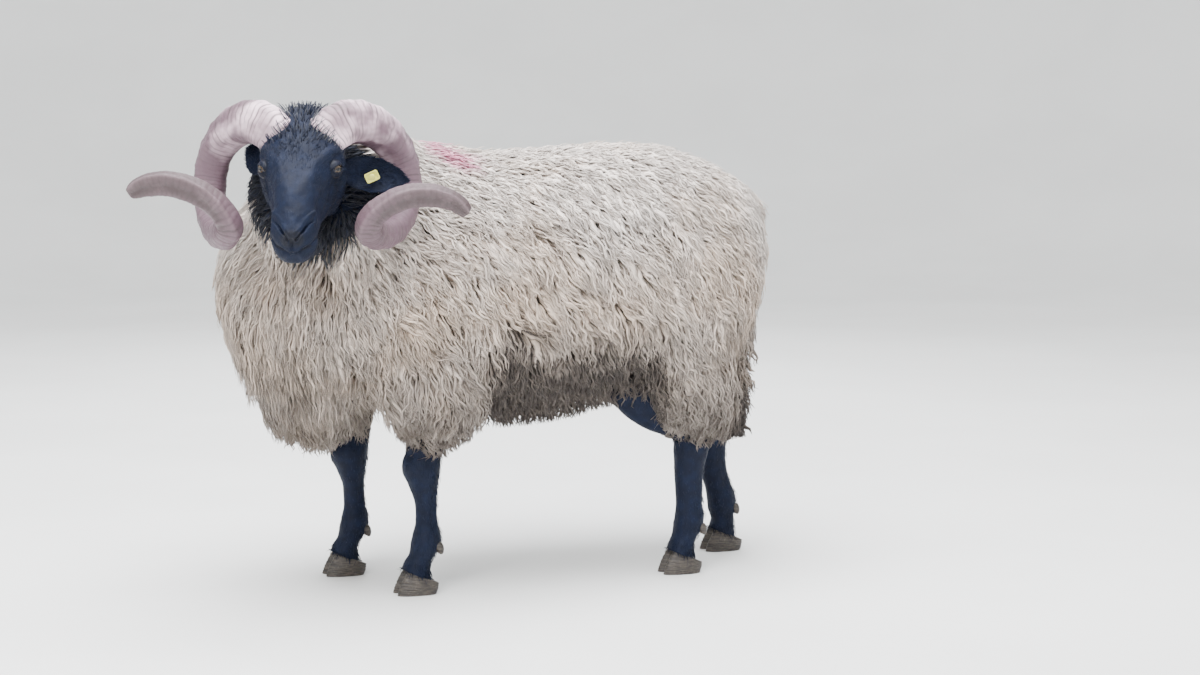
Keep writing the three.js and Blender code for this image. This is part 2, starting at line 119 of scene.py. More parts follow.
HORN_COIL = (-38, -8)  # forward and up from between the eyes
HORN_BEND = [  # forward, outward, up, half-thickness away from and towards the coil, half-width
    (-24, 18, 32, 30, 30, 22), (-30, 44, 66, 34, 34, 25), (-52, 74, 80, 35, 33, 28),
    (-86, 112, 68, 33, 31, 28), (-114, 140, 34, 31, 29, 27), (-124, 152, -12, 29, 27, 26),
    (-110, 150, -56, 27, 25, 25), (-74, 137, -86, 25, 23, 24), (-30, 121, -95, 24, 22, 23),
    (8, 110, -90, 23, 21, 22),
]
HORN_END = {  # the same for the last stretch, which differs on the two sides
    "left": [
        (34, 108, -78, 21, 20, 21), (47, 122, -57, 18, 18, 20), (53, 162, -35, 15, 14, 19.5),
        (51, 203, -31, 12, 12, 19), (46, 238, -40, 10, 10, 16.5), (42, 258, -56, 8, 8, 12),
    ],
    "right": [
        (34, 106, -76, 21, 20, 21), (47, 124, -46, 18, 18, 20.5), (55, 156, -24, 15, 15, 21),
        (55, 195, -13, 13, 13, 20), (49, 230, -16, 11, 11, 18), (45, 254, -26, 8, 8, 12),
    ],
}
SPREAD = {"left": 1.0, "right": 1.05}  # share of the bend's reach outward
SIDES = {"left": 1, "right": -1}
RINGS = 26  # of growth, along a horn
# Rings of points along each form, and points round a ring
MESH = {"skull": (210, 224), "horn": (620, 72), "ear": (90, 72), "leg": (150, 56), "claw": (60, 64)}

# Ears: root and tip in the head's frame, as on the left side
EAR = {"left": ((-52, 56, 6), (-64, 158, -12)), "right": ((-54, 56, 12), (-122, 98, 34))}
BEHIND_EARS = [(-84, -62, -8), (-84, 78, -8)]  # the black hair's reach there, in the face's frame
EAR_LEAF = [  # share of the length, reach behind and before the middle line, half-width
    (0, 14, 12, 15), (0.14, 15, 4, 21), (0.35, 13, -6, 26), (0.55, 11, -5.5, 27),
    (0.75, 8, -3, 22), (0.9, 5, -1, 13), (1, 2, 1.5, 3),
]
# The tag's place on a left ear, size and turn in degrees
TAG = {"front": -50, "out": 106, "up": -6, "length": 22, "height": 16, "thick": 1.8, "tilt": 24}

# Legs: offset forward of the cannon's axis, height, reach before and behind, half-width.
FORELEG = [
    (-16, 400, 46, 46, 38), (-12, 330, 37, 38, 34), (-4, 272, 29, 30, 28), (1, 238, 30, 29, 31),
    (4, 212, 33, 28, 33), (3, 188, 25, 25, 27), (0, 160, 18, 20, 20), (-1, 122, 17, 20, 18.5),
    (0, 98, 20, 25, 22.5), (3, 80, 21, 25, 24), (9, 60, 19, 20, 23), (15, 44, 22, 22, 26),
    (19, 24, 25, 27, 28),
]
HINDLEG = [
    (92, 420, 76, 60, 44), (82, 352, 74, 50, 40), (54, 310, 62, 40, 35), (13, 272, 41, 36, 31),
    (-5, 246, 33, 38, 30), (-3, 220, 29, 32, 28), (0, 190, 26, 28, 24), (1, 152, 23, 25, 21.5),
    (1, 120, 22, 25, 21), (1, 98, 23, 27, 23.5), (4, 80, 23, 26, 24.5), (10, 60, 20, 21, 23.5),
    (15, 44, 22, 22, 26), (19, 24, 25, 27, 28),
]
# The right hind leg trails: how far forward of upright it stands at each height.
TRAILING_LEG = "hindleg_right"
TRAILING_HEIGHT = (24, 44, 60, 80, 98, 120, 152, 190, 220, 246, 272, 310, 352, 420)
TRAILING_SHIFT = (0, 0, 4, 13, 18, 24, 32, 38, 41, 43, 44, 38, 26, 12)
# Tendons, hollows and knobs of a leg: the line, its reach, its height.
SHIN_FORMS = [
    ([(-8, 15, 190), (-9, 15, 118)], 5, -3.0), ([(12, 14, 185), (12, 14, 120)], 7, -1.2),
    ([(-24, 0, 105), (-25, 0, 86)], 9, 2.4), ([(-6, 20, 92), (2, 22, 84)], 8, 1.6),
    ([(22, 0, 60), (26, 0, 48)], 8, 1.2), ([(-12, 10, 66), (-8, 10, 48)], 7, -1.5),
]
KNEE_FORMS = [
    ([(32, 0, 222), (34, 0, 205)], 12, 1.6), ([(10, 30, 222), (6, 31, 200)], 11, 1.8),
    ([(-24, 0, 215), (-26, 0, 200)], 9, 3.0), ([(24, 14, 236), (22, 12, 190)], 5, -1.3),
]
HOCK_FORMS = [
    ([(-40, 0, 252), (-36, 0, 236)], 10, 4.0), ([(-14, 22, 285), (-20, 20, 255)], 8, -4.5),
    ([(8, 26, 248), (4, 27, 222)], 11, 2.0), ([(26, 0, 238), (24, 0, 215)], 10, 1.4),
]
CLAW = [  # offset forward, height, toe, heel, half-width
    (19, 0, 34, 33, 13.2), (17, 10, 33, 33, 13.4), (13, 24, 31, 31, 13.4), (8, 48, 25, 27, 12.4),
]
CLAW_OUT = 14.2
FALSE_CLAW = [(3, 12), (7.5, 8), (8, 2), (6.5, -4), (3.5, -9), (0.4, -11)]  # radius, height
FALSE_CLAW_PLACE = (22, 12, 76)  # behind the cannon's axis, aside and up
FALSE_CLAW_LEAN = math.radians(24)
CORONET = (15, 34, math.tan(math.radians(24)))  # forward, height and slope

# Markings, dirt and painted shade, and the lie of the fleece
RADDLE_LINE = [(240, 20, 752), (232, 70, 744), (205, 98, 734)]
# Lines along which the fleece is darkened with dirt and painted shade
ELBOW_CREASE = [(140, 215, 425), (128, 205, 300)]
CHEST_PARTING = [(415, 205, 470), (385, 170, 345)]
THROAT, BREAST, BREAST_REACH = np.array([430, 215, 640]), np.array([450, 180, 590]), 240
CHEST_FROM, FLANK_TO, FLANK_FROM = 330, 110, -130  # how far ahead the fleece's pieces part
NECK_FROM, RUMP_FROM = 560, 480  # and how high
# Lengths and depths of the fleece's locks
FLEECE_FROM, FLEECE_CLEAR = 200, 205  # the lowest roots, and the lowest tip
LOCK_POINTS, STAPLE_LOCKS, PIECE_LOCKS = 9, 14, 3000
LOCK_LENGTH, CHEST_EXTRA, LOBE_EXTRA, BACK_LESS = 60, 16, 18, 8
LOCK_DEPTH, BACK_DEPTH_LESS, RUFF_DEPTH = 26, 11, 14
UNDER_SHARE = 0.3  # of the locks that are broad and lie deeper, behind the fine ones
WIDTH, WIDTH_SPREAD = 2.2, 0.7
HORN_CLEAR, LEG_CLEAR, LEG_TOP = 2.0, 1.5, 320  # gaps to horns and legs, and where legs begin
SKIN_DEPTH = {"black": 12, "flank": 30, "back": 17}  # from the fleece's surface to the skin
THIN_SHARE = 0.36  # of a part's thickness, the most that is taken for depth
GUIDE_VOXEL, CORE_VOXEL = 8.9, 9
HAIR_POINTS = 4
HAIR_TUFTS = {"head": 9500, "legs": 4500}
BAKE_PATCH = 0.003  # side of each strand's patch of the OFBake map

CAMERA = {  # metres, and the way it looks: turned from the row's -Y, and down
    "place": (1.1732, 3.8549, 0.845), "heading": math.radians(20), "pitch": math.radians(5.9), "lens": 72,
}
LIGHTS = [  # name, place, width, power, tint
    ("sky", (0.3, 0.6, 3.6), 3.4, 460, (0.97, 0.98, 1.0)),
    ("key", (2.6, 3.4, 2.6), 2.2, 150, (1.0, 0.98, 0.95)),
    ("back", (-1.0, -3.2, 2.4), 2.6, 80, (0.95, 0.97, 1.0)),
]
AMBIENT, AMBIENT_STRENGTH = (0.86, 0.88, 0.90, 1), 1.75

# ---- small sums


def unit(v):
    return v / np.maximum(np.linalg.norm(v, axis=-1, keepdims=True), 1e-9)


def ease(low, high, x):
    t = np.clip((x - low) / (high - low), 0, 1)
    return t * t * (3 - 2 * t)


def bell(far, reach):
    return np.exp(-(far / reach) ** 2)


def dot(a, b):
    return np.sum(a * b, axis=-1)


def full_circle(count):
    return 2 * np.pi * np.arange(count) / count


def turned(axis, angle):
    """Rotation matrix about X, Y or Z."""
    c, s = math.cos(angle), math.sin(angle)
    i, j = [(1, 2), (2, 0), (0, 1)]["XYZ".index(axis)]
    made = np.eye(3)
    made[i, i] = made[j, j] = c
    made[i, j], made[j, i] = -s, s
    return made


TO_HEAD = turned("Z", HEAD_TURN)
TO_FACE = TO_HEAD @ turned("Y", HEAD_BOW)


def from_face(points):
    return points @ TO_FACE.T + HEAD


def to_face(points):
    return (points - HEAD) @ TO_FACE


def from_head(points):
    return points @ TO_HEAD.T + HEAD


def ripple(points, size, seed, layers=7):
    """Smooth noise from -1 to 1, about size millimetres from swell to swell."""
    made = np.random.default_rng(seed)
    waves = unit(made.normal(size=(layers, 3))) * made.uniform(0.7, 1.5, (layers, 1)) * 6.28 / size
    phase = made.uniform(0, 6.28, layers)
    return np.sin(points @ waves.T + phase).sum(-1) / (0.5 * layers + 1)


def off_line(points, line):
    """Distance of each point to a line through several places."""
    line = np.asarray(line, float)
    best = np.full(points.shape[:-1], 1e9)
    for a, b in zip(line[:-1], line[1:]):
        t = np.clip((points - a) @ (b - a) / max((b - a) @ (b - a), 1e-9), 0, 1)
        best = np.minimum(best, np.linalg.norm(points - a - t[..., None] * (b - a), axis=-1))
    return best


# ---- lofting


def sampled(rows, t):
    """A station table's rows at shares t of the way along it, on a smooth curve."""
    rows = np.asarray(rows, float)
    padded = np.vstack([2 * rows[0] - rows[1], rows, 2 * rows[-1] - rows[-2]])
    x = np.clip(t, 0, 1) * (len(rows) - 1)
    i = np.minimum(x.astype(int), len(rows) - 2)
    f = (x - i)[:, None]
    a, b, c, d = (padded[i + k] for k in range(4))
    return b + 0.5 * f * (c - a + f * (2 * a - 5 * b + 4 * c - d + f * (3 * (b - c) + d - a)))


def loft(stations, rows, columns, side=None, facing=None):
    """Rings of points through stations, the rings' centres, shares along and angles round."""
    t = np.linspace(0, 1, rows + 1)
    at = sampled(stations, t)
    centre = at[:, :3]
    over, under, width, square_over, square_under = (at[:, k, None] for k in range(3, 8))
    along = unit(sampled(stations, t + 0.01)[:, :3] - sampled(stations, t - 0.01)[:, :3])
    if facing is not None:
        along = np.tile(np.asarray(facing, float), (len(t), 1))
    across = side(centre, along) if side else np.tile([0.0, 1.0, 0.0], (len(t), 1))
    up = unit(np.cross(along, across))
    across = unit(np.cross(up, along))
    angle = full_circle(columns)
    c, s = np.cos(angle)[None], np.sin(angle)[None]
    square = np.where(s > 0, square_over, square_under)
    reach = (np.abs(c) ** square + np.abs(s) ** square) ** (-1 / square)
    out, rise = reach * c * width, reach * s * np.where(s > 0, over, under)
    rings = centre[:, None] + across[:, None] * out[..., None] + up[:, None] * rise[..., None]
    return rings, centre[:, None], t[:, None], angle[None]


def bands(row, next_row, ring):
    """Four-sided faces between rings of points and the rings after them."""
    after = np.roll(ring, -1)
    return np.stack([row + ring, row + after, next_row + after, next_row + ring], -1).reshape(-1, 4)


def loft_faces(rows, columns):
    """Faces of a closed form through rows + 1 rings."""
    ring = np.arange(columns)
    start = np.arange(rows)[:, None] * columns
    faces = bands(start, start + columns, ring).tolist()
    faces.append(ring[::-1].tolist())
    faces.append((rows * columns + ring).tolist())
    return faces


def rings_mesh(rings):
    """Points and faces of a closed form through rings of points."""
    return rings.reshape(-1, 3), loft_faces(rings.shape[0] - 1, rings.shape[1])


def joined(parts):
    """Several pairs of points and faces as one pair."""
    points, faces, start = [], [], 0
    for some_points, some_faces in parts:
        points.append(some_points)
        faces += [[start + v for v in face] for face in some_faces]
        start += len(some_points)
    return np.concatenate(points), faces


# ---- meshes


def to_row(points):
    return (np.asarray(points).reshape(-1, 3) - MIDDLE) / 1000


def linked(name, mesh, finish=None, slot=None):
    """A mesh as an object that rides on the model's one body."""
    made = bpy.data.objects.new(name, mesh)
    bpy.context.scene.collection.objects.link(made)
    if finish:
        mesh.materials.append(finish)
    if slot:
        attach(made, "root")
    mesh.shade_smooth()
    return made


def shaped(name, points, faces, finish=None, slot=None):
    """An object from points in the ram's frame."""
    mesh = bpy.data.meshes.new(name)
    mesh.from_pydata(to_row(points).tolist(), [], faces)
    return linked(name, mesh, finish, slot)


def lofted(name, rings, finish=None, slot=None):
    """A closed form through rings of points."""
    return faced_out(shaped(name, *rings_mesh(rings), finish, slot))


def faced_out(thing):
    """Turn a closed mesh's faces outward."""
    mesh = thing.data
    points, _ = points_of(mesh)
    mesh.calc_loop_triangles()
    corners = np.empty(len(mesh.loop_triangles) * 3, np.int32)
    mesh.loop_triangles.foreach_get("vertices", corners)
    a, b, c = points[corners.reshape(-1, 3)].transpose(1, 0, 2)
    if dot(a, np.cross(b, c)).sum() < 0:
        mesh.flip_normals()
    return thing


def mark(mesh, name, values):
    """Store one number a vertex, for the materials."""
    made = mesh.attributes.get(name) or mesh.attributes.new(name, "FLOAT", "POINT")
    made.data.foreach_set("value", np.asarray(values, np.float32).ravel())


def points_of(mesh):
    """A mesh's vertices and normals in the ram's frame."""
    co = np.empty(len(mesh.vertices) * 3, np.float32)
    normal = np.empty(len(mesh.vertices) * 3, np.float32)
    mesh.vertices.foreach_get("co", co)
    mesh.vertices.foreach_get("normal", normal)
    return co.reshape(-1, 3).astype(float) * 1000 + MIDDLE, normal.reshape(-1, 3).astype(float)


def set_points(mesh, points):
    mesh.vertices.foreach_set("co", to_row(points).astype(np.float32).ravel())
    mesh.update()


def modified(thing, kind, **settings):
    """Apply one modifier to an object."""
    modifier = thing.modifiers.new(kind, kind)
    for key, value in settings.items():
        setattr(modifier, key, value)
    graph = bpy.context.evaluated_depsgraph_get()
    made = bpy.data.meshes.new_from_object(thing.evaluated_get(graph))
    thing.modifiers.clear()
    thing.data = made
    return thing


def cut_or_joined(thing, other, operation):
    modified(thing, "BOOLEAN", object=other, operation=operation, solver="MANIFOLD")
    bpy.data.objects.remove(other)
    return thing


def merged(name, sources, voxel):
    """One closed surface round several objects."""
    parts = [(points_of(source.data)[0], [face.vertices for face in source.data.polygons])
             for source in sources]
    return modified(shaped(name, *joined(parts)), "REMESH", mode="VOXEL", voxel_size=voxel / 1000)


def relaxed(mesh, rounds, share=0.5):
    """Even out a mesh's vertices."""
    edges = np.empty(len(mesh.edges) * 2, np.int32)
    mesh.edges.foreach_get("vertices", edges)
    a, b = edges.reshape(-1, 2).T
    points, _ = points_of(mesh)
    near = np.bincount(a, minlength=len(points)) + np.bincount(b, minlength=len(points))
    for _ in range(rounds):
        total = np.stack([
            np.bincount(a, points[b, k], len(points)) + np.bincount(b, points[a, k], len(points))
            for k in range(3)
        ], -1)
        points = points + share * (total / np.maximum(near, 1)[:, None] - points)
    set_points(mesh, points)


def filled(mesh, rounds, where=None):
    """Fill a mesh's hollows, leaving what stands out as it is."""
    for _ in range(rounds):
        before, normals = points_of(mesh)
        relaxed(mesh, 1)
        after, _ = points_of(mesh)
        rise = np.clip(dot(after - before, normals), 0, None) * (where(before) if where else 1)
        set_points(mesh, before + normals * rise[:, None])


def under_chest(points):
    """1 where the chest's wool runs down on to the right shoulder's."""
    x, y, z = points.T
    return ease(350, 410, x) * ease(20, -50, y) * ease(470, 430, z)


def trimmed_below(mesh):
    """Raise the fleece's lower edges, where free tips of locks make the outline."""
    points, normals = points_of(mesh)
    lift = 24 * (1 - under_chest(points) * ease(250, 290, points[:, 2]))
    points[:, 2] += lift * ease(-0.2, -0.8, normals[:, 2]) * ease(470, 420, points[:, 2])
    set_points(mesh, points)
    relaxed(mesh, 3)


class Surface:
    """The nearest place and outward direction on a mesh, in the ram's frame."""

    def __init__(self, thing):
        points, self.normals = points_of(thing.data)
        faces = [tuple(face.vertices) for face in thing.data.polygons]
        self.tree = BVHTree.FromPolygons(points.tolist(), faces)
        self.faces = faces
        self.low, self.high = points.min(0), points.max(0)

    def nearest(self, points):
        flat = points.reshape(-1, 3)
        place, outward = np.empty_like(flat), np.empty_like(flat)
        for i, point in enumerate(flat.tolist()):
            found, _, face, _ = self.tree.find_nearest(point)
            place[i] = found
            outward[i] = self.normals[self.faces[face][0]]
        return place.reshape(points.shape), outward.reshape(points.shape)


# ---- markings, dirt and painted shade


def blackness(points):
    """1 where the hair is black, as on head and lower legs, and 0 where it is fleece."""
    face = to_face(points)
    nape, nose = np.array([-62.0, 0, -42]), np.array([142.0, 0, -34])
    share = np.clip((face - nape) @ (nose - nape) / ((nose - nape) @ (nose - nape)), 0, 1)
    off = face - nape - share[:, None] * (nose - nape)
    reach = 116 - 58 * share + 90 * ease(-30, 10, off[:, 2]) * ease(-105, -55, face[:, 0])
    reach += 24 * ease(0, -50, off[:, 2])
    far = np.minimum(np.linalg.norm(off, axis=1) - reach, off_line(face, BEHIND_EARS) - 62)
    head = 1 - ease(-7, 7, far + 6 * ripple(points, 34, 3))
    ears = 1 - ease(1, 3, np.min([off_line(face_to_head(face), ear_line(name)) / 34 for name in SIDES], 0))
    legs = 1 - ease(330, 372, points[:, 2] + 12 * ripple(points, 40, 4))
    return np.max([head, ears, legs], axis=0)


def face_to_head(points):
    return points @ turned("Y", HEAD_BOW).T


def ear_line(name):
    return [np.array(place) * np.array([1, SIDES[name], 1]) for place in EAR[name]]


def stain(points):
    """The pink raddle mark on the withers."""
    far = off_line(points, RADDLE_LINE)
    return 0.9 * (1 - ease(4, 50, far + 9 * ripple(points, 30, 5)))


def soil(points):
    """How dark the fleece is made, by dirt and by painted shade: most at the belly and in the crease behind
    the elbow, less on the lobes.
    """
    x, y, z = points.T
    rough = 26 * ripple(points, 60, 6) + 14 * ripple(points, 24, 7)
    low = 1 - ease(240, 540, z + rough)
    behind_elbow = np.where(y > 0, 150, 235)
    belly = (1 - ease(335, 450, z + rough)) * ease(-160, -115, x) * ease(15, -15, x - behind_elbow)
    elbow = 1 - ease(16, 44, off_line(points, ELBOW_CREASE) + 0.4 * rough)
    hock = ease(-20, -60, y) * ease(-230, -320, x) * (1 - ease(270, 470, z + 1.5 * rough))
    parting = 1 - ease(15, 75, off_line(points, CHEST_PARTING) + 0.5 * rough)
    chest = ease(400, 480, x) * ease(640, 560, z)
    # every term darkens with dirt and painted shade: low down, under the belly, in the elbow's crease, over
    # the right hock, along the chest's parting and on the chest
    return np.clip(low * (0.74 - 0.26 * ease(300, 380, x)) + 0.85 * belly + 0.6 * elbow + 0.42 * hock
                   + 0.26 * chest + 0.2 * parting, 0, 1)


# ---- materials


class Finish:
    """A Principled material, with short calls that add its nodes."""

    def __init__(self, name, roughness, **settings):
        self.made = bpy.data.materials.new(name)
        self.made.use_nodes = True
        self.tree = self.made.node_tree
        self.shader = self.tree.nodes["Principled BSDF"]
        self.shader.inputs["Roughness"].default_value = roughness
        for key, value in settings.items():
            self.shader.inputs[key.replace("_", " ")].default_value = value
        self.place = self.node("TexCoord").outputs["Object"]

    def node(self, kind, **settings):
        made = self.tree.nodes.new("ShaderNode" + kind)
        for key, value in settings.items():
            setattr(made, key, value)
        return made

    def feed(self, socket, value):
        if isinstance(value, bpy.types.NodeSocket):
            self.tree.links.new(value, socket)
        else:
            socket.default_value = value

    def sum(self, operation, a, b, clamp=False):
        made = self.node("Math", operation=operation, use_clamp=clamp)
        self.feed(made.inputs[0], a)
        self.feed(made.inputs[1], b)
        return made.outputs[0]

    def length(self, a, b):
        return self.sum("SQRT", self.sum("ADD", self.sum("MULTIPLY", a, a), self.sum("MULTIPLY", b, b)), 0)

    def mix(self, share, a, b, blend="MIX"):
        made = self.node("Mix", data_type="RGBA", blend_type=blend)
        self.feed(made.inputs[0], share)
        self.feed(made.inputs[6], (*a, 1) if isinstance(a, tuple) else a)
        self.feed(made.inputs[7], (*b, 1) if isinstance(b, tuple) else b)
        return made.outputs[2]

    def noise(self, scale, detail=3.0, roughness=0.55, vector=None, stretch=None):
        """Noise of scale swells to the metre, from 0 to 1; stretch scales each axis."""
        made = self.node("TexNoise")
        source = vector or self.place
        if stretch:
            mapping = self.node("Mapping")
            self.feed(mapping.inputs["Vector"], source)
            mapping.inputs["Scale"].default_value = stretch
            source = mapping.outputs[0]
        self.feed(made.inputs["Vector"], source)
        made.inputs["Scale"].default_value = scale
        made.inputs["Detail"].default_value = detail
        made.inputs["Roughness"].default_value = roughness
        return made.outputs[0]

    def span(self, value, low, high, to_low=0.0, to_high=1.0):
        made = self.node("MapRange", interpolation_type="SMOOTHSTEP")
        for socket, number in zip(made.inputs, (value, low, high, to_low, to_high)):
            self.feed(socket, number)
        return made.outputs[0]

    def patches(self, scale, detail, low, high, to_low=0.0, to_high=1.0, roughness=0.55):
        """Noise spread over a range, for patches with soft edges."""
        return self.span(self.noise(scale, detail, roughness), low, high, to_low, to_high)

    def marked(self, name):
        return self.node("Attribute", attribute_name=name).outputs["Fac"]

    def bump(self, height, distance, strength=1.0):
        made = self.node("Bump")
        made.inputs["Strength"].default_value = strength
        made.inputs["Distance"].default_value = distance
        self.feed(made.inputs["Height"], height)
        if self.shader.inputs["Normal"].is_linked:
            self.feed(made.inputs["Normal"], self.shader.inputs["Normal"].links[0].from_socket)
        self.feed(self.shader.inputs["Normal"], made.outputs[0])

    def colour(self, value):
        self.feed(self.shader.inputs["Base Color"], value)

    def roughness(self, value):
        self.feed(self.shader.inputs["Roughness"], value)


# The soiled wool colour stands for dirt and painted shade together
WOOL_CLEAN, WOOL_WARM, WOOL_SOILED_AND_SHADED = (0.99, 0.89, 0.82), (0.93, 0.75, 0.61), (0.105, 0.084, 0.072)
# The deep wool colour is painted shade deep in the fleece, multiplied in at the locks' roots and on the hide
# beneath
WOOL_DEEP_SHADE, RADDLE = (0.86, 0.77, 0.68), (0.95, 0.33, 0.52)
# The black hair's navy tint is painted bluish shade and haze; the sheen colour is painted sheen, laid on in
# patches
BLACK_HAIR, BLACK_SHEEN = (0.0025, 0.0043, 0.0122), (0.0049, 0.0092, 0.0262)


def wool_colour(finish):
    """The fleece's colour: cream, warmer in patches and towards the bottom, darkened below with dirt and
    painted shade, with a raddle mark.
    """
    patches = finish.patches(7, 4, 0.35, 0.7, -0.3, 0.3)
    apart = finish.node("SeparateXYZ")
    finish.feed(apart.inputs[0], finish.place)
    # warmer and darker towards the bottom
    lower = finish.span(apart.outputs[2], 0.70, 0.46, 0.1, 0.8)
    colour = finish.mix(finish.sum("ADD", patches, lower, True), WOOL_CLEAN, WOOL_WARM)
    # darkened by the darkening mark, which is dirt and painted shade, and by random patches of dirt
    soiled = finish.patches(38, 3, 0.3, 0.75, -0.16, 0.16)
    colour = finish.mix(finish.sum("ADD", finish.marked("soil"), soiled, True), colour, WOOL_SOILED_AND_SHADED)
    return finish.mix(finish.marked("stain"), colour, RADDLE)


def hair_colour(finish):
    # patches of painted sheen over the navy-tinted black hair
    patches = finish.patches(55, 4, 0.3, 0.75, 0.15, 0.85)
    return finish.mix(patches, BLACK_HAIR, BLACK_SHEEN)


def fleece_finish():
    """Locks: darkened at the root with painted shade, lighter at the tip, each with its own tone, with fine
    strands.
    """
    made = Finish("fleece", 0.82, Sheen_Weight=0.1, Sheen_Roughness=0.5, Specular_IOR_Level=0.25)
    colour = wool_colour(made)
    # painted shade at the roots, deep among the locks
    root = made.span(made.marked("along"), 0.5, 0.05, 0.0, 0.4)
    colour = made.mix(root, colour, WOOL_DEEP_SHADE, "MULTIPLY")
    tone = made.span(made.marked("tone"), 0, 1, 0.83, 1.07)
    grey = made.node("CombineColor")
    for socket in grey.inputs:
        made.feed(socket, tone)
    colour = made.mix(1.0, colour, grey.outputs[0], "MULTIPLY")
    dark = made.marked("black")
    made.colour(made.mix(dark, colour, hair_colour(made)))
    strands = made.node("TexWave", wave_type="BANDS", bands_direction="X")
    made.feed(strands.inputs["Vector"], made.node("UVMap", uv_map="lock").outputs[0])
    strands.inputs["Scale"].default_value = 1.6
    strands.inputs["Distortion"].default_value = 2.5
    made.bump(strands.outputs["Fac"], 0.0012, 0.8)
    return made.made


def hair_finish():
    made = Finish("black_hair", 0.62, Specular_IOR_Level=0.14)
    colour = hair_colour(made)
    pale = made.marked("pale")
    colour = made.mix(pale, colour, (0.42, 0.42, 0.43))
    tip = made.span(made.marked("along"), 0.2, 1.0, 0.0, 0.35)
    made.colour(made.mix(tip, colour, (0.022, 0.030, 0.060)))
    made.bump(made.noise(900, 2), 0.0006, 0.5)
    return made.made


def skin_finish():
    """Short flat hair on face and legs, and wool-coloured hide below the fleece, darkened with painted shade.
    """
    made = Finish("skin", 0.6, Specular_IOR_Level=0.14)
    # the hide under the fleece, darkened with painted shade
    wool = made.mix(0.4, wool_colour(made), WOOL_DEEP_SHADE, "MULTIPLY")
    short = made.mix(made.marked("bare"), hair_colour(made), (0.006, 0.007, 0.012))
    made.colour(made.mix(made.marked("black"), wool, short))
    grain = made.noise(420, 3, 0.6, stretch=(1, 1, 0.35))
    made.bump(grain, 0.0012, 0.55)
    made.bump(made.noise(1500, 2, 0.6, stretch=(1, 1, 0.4)), 0.0005, 0.4)
    made.bump(made.noise(90, 3), 0.0025, 0.35)
    made.roughness(made.span(made.marked("bare"), 0, 1, 0.62, 0.36))
    return made.made


def horn_finish():
    """Pale pink at the root, partly painted highlight, mauve-brown beyond and darkest at the tip, with fine
    dark rings of painted shade in the grooves and painted shade on the blade's lower face.
    """
    made = Finish("horn", 0.52, Specular_IOR_Level=0.4)
    along = made.marked("along")
    root_to_tip = made.sum("ADD", along, made.patches(16, 3, 0.3, 0.7, -0.08, 0.08), True)
    # pale at the root: partly the horn's own paler base, partly painted highlight where the sky lights its
    # top
    colour = made.mix(made.span(root_to_tip, 0.02, 0.21), (0.90, 0.68, 0.77), (0.115, 0.069, 0.090))
    colour = made.mix(made.span(root_to_tip, 0.45, 0.95), colour, (0.066, 0.044, 0.047))
    # painted shade in the ring grooves and on the lower face of the horn's blade
    painted_shade = made.marked("groove_and_blade_shade")
    colour = made.mix(made.span(painted_shade, 0.15, 0.9, 0.0, 0.85), colour, (0.05, 0.034, 0.036))
    streaks = made.patches(45, 5, 0.5, 0.8, 0.0, 0.4, roughness=0.7)
    colour = made.mix(streaks, colour, (0.17, 0.112, 0.126))
    edge = made.span(made.node("NewGeometry").outputs["Pointiness"], 0.5, 0.56, 0.0, 0.3)
    made.colour(made.mix(edge, colour, (0.25, 0.178, 0.20)))
    made.bump(made.noise(260, 5, 0.7), 0.0012, 0.6)
    made.roughness(made.patches(120, 3, 0.3, 0.7, 0.42, 0.66))
    return made.made


def claw_finish():
    made = Finish("claw", 0.5, Specular_IOR_Level=0.4)
    layers = made.noise(60, 4, 0.6, stretch=(1, 1, 9))
    colour = made.mix(made.span(layers, 0.35, 0.7), (0.020, 0.017, 0.015), (0.075, 0.062, 0.052))
    scuffed = made.patches(200, 4, 0.5, 0.8, 0.0, 0.5, roughness=0.7)
    made.colour(made.mix(scuffed, colour, (0.15, 0.13, 0.11)))
    made.bump(layers, 0.0012, 0.6)
    made.bump(made.noise(700, 3), 0.0004, 0.5)
    made.roughness(made.span(layers, 0.3, 0.7, 0.38, 0.62))
    return made.made


def eye_finish():
    """Dull amber iris with fine rays round a level, soft-ended pupil, a dark rim and a brown white."""
    made = Finish("eye", 0.12, Coat_Weight=0.25, Coat_Roughness=0.05)
    across, up = made.marked("across"), made.marked("up")
    radius = made.length(across, up)
    turn = made.sum("ARCTAN2", up, across)
    rays = made.node("TexNoise", noise_dimensions="2D")
    spot = made.node("CombineXYZ")
    made.feed(spot.inputs[0], made.sum("MULTIPLY", turn, 7.0))
    made.feed(spot.inputs[1], made.sum("MULTIPLY", radius, 0.12))
    made.feed(rays.inputs["Vector"], spot.outputs[0])
    rays.inputs["Scale"].default_value = 1.6
    iris = made.mix(made.span(rays.outputs[0], 0.35, 0.65), (0.028, 0.018, 0.010), (0.066, 0.043, 0.022))
    iris = made.mix(made.span(radius, 6.2, 9.2), iris, (0.016, 0.010, 0.007))
    white = made.mix(made.patches(300, 3, 0.4, 0.7), (0.07, 0.05, 0.042), (0.15, 0.11, 0.09))
    colour = made.mix(made.span(radius, 9.2, 10.2), iris, white)
    beyond = made.sum("MAXIMUM", made.sum("SUBTRACT", made.sum("ABSOLUTE", across, 0), 3.1), 0.0)
    pupil = made.span(made.length(beyond, up), 2.9, 2.3)
    made.colour(made.mix(pupil, colour, (0.0015, 0.0015, 0.003)))
    made.bump(rays.outputs[0], 0.0002, 0.2)
    return made.made


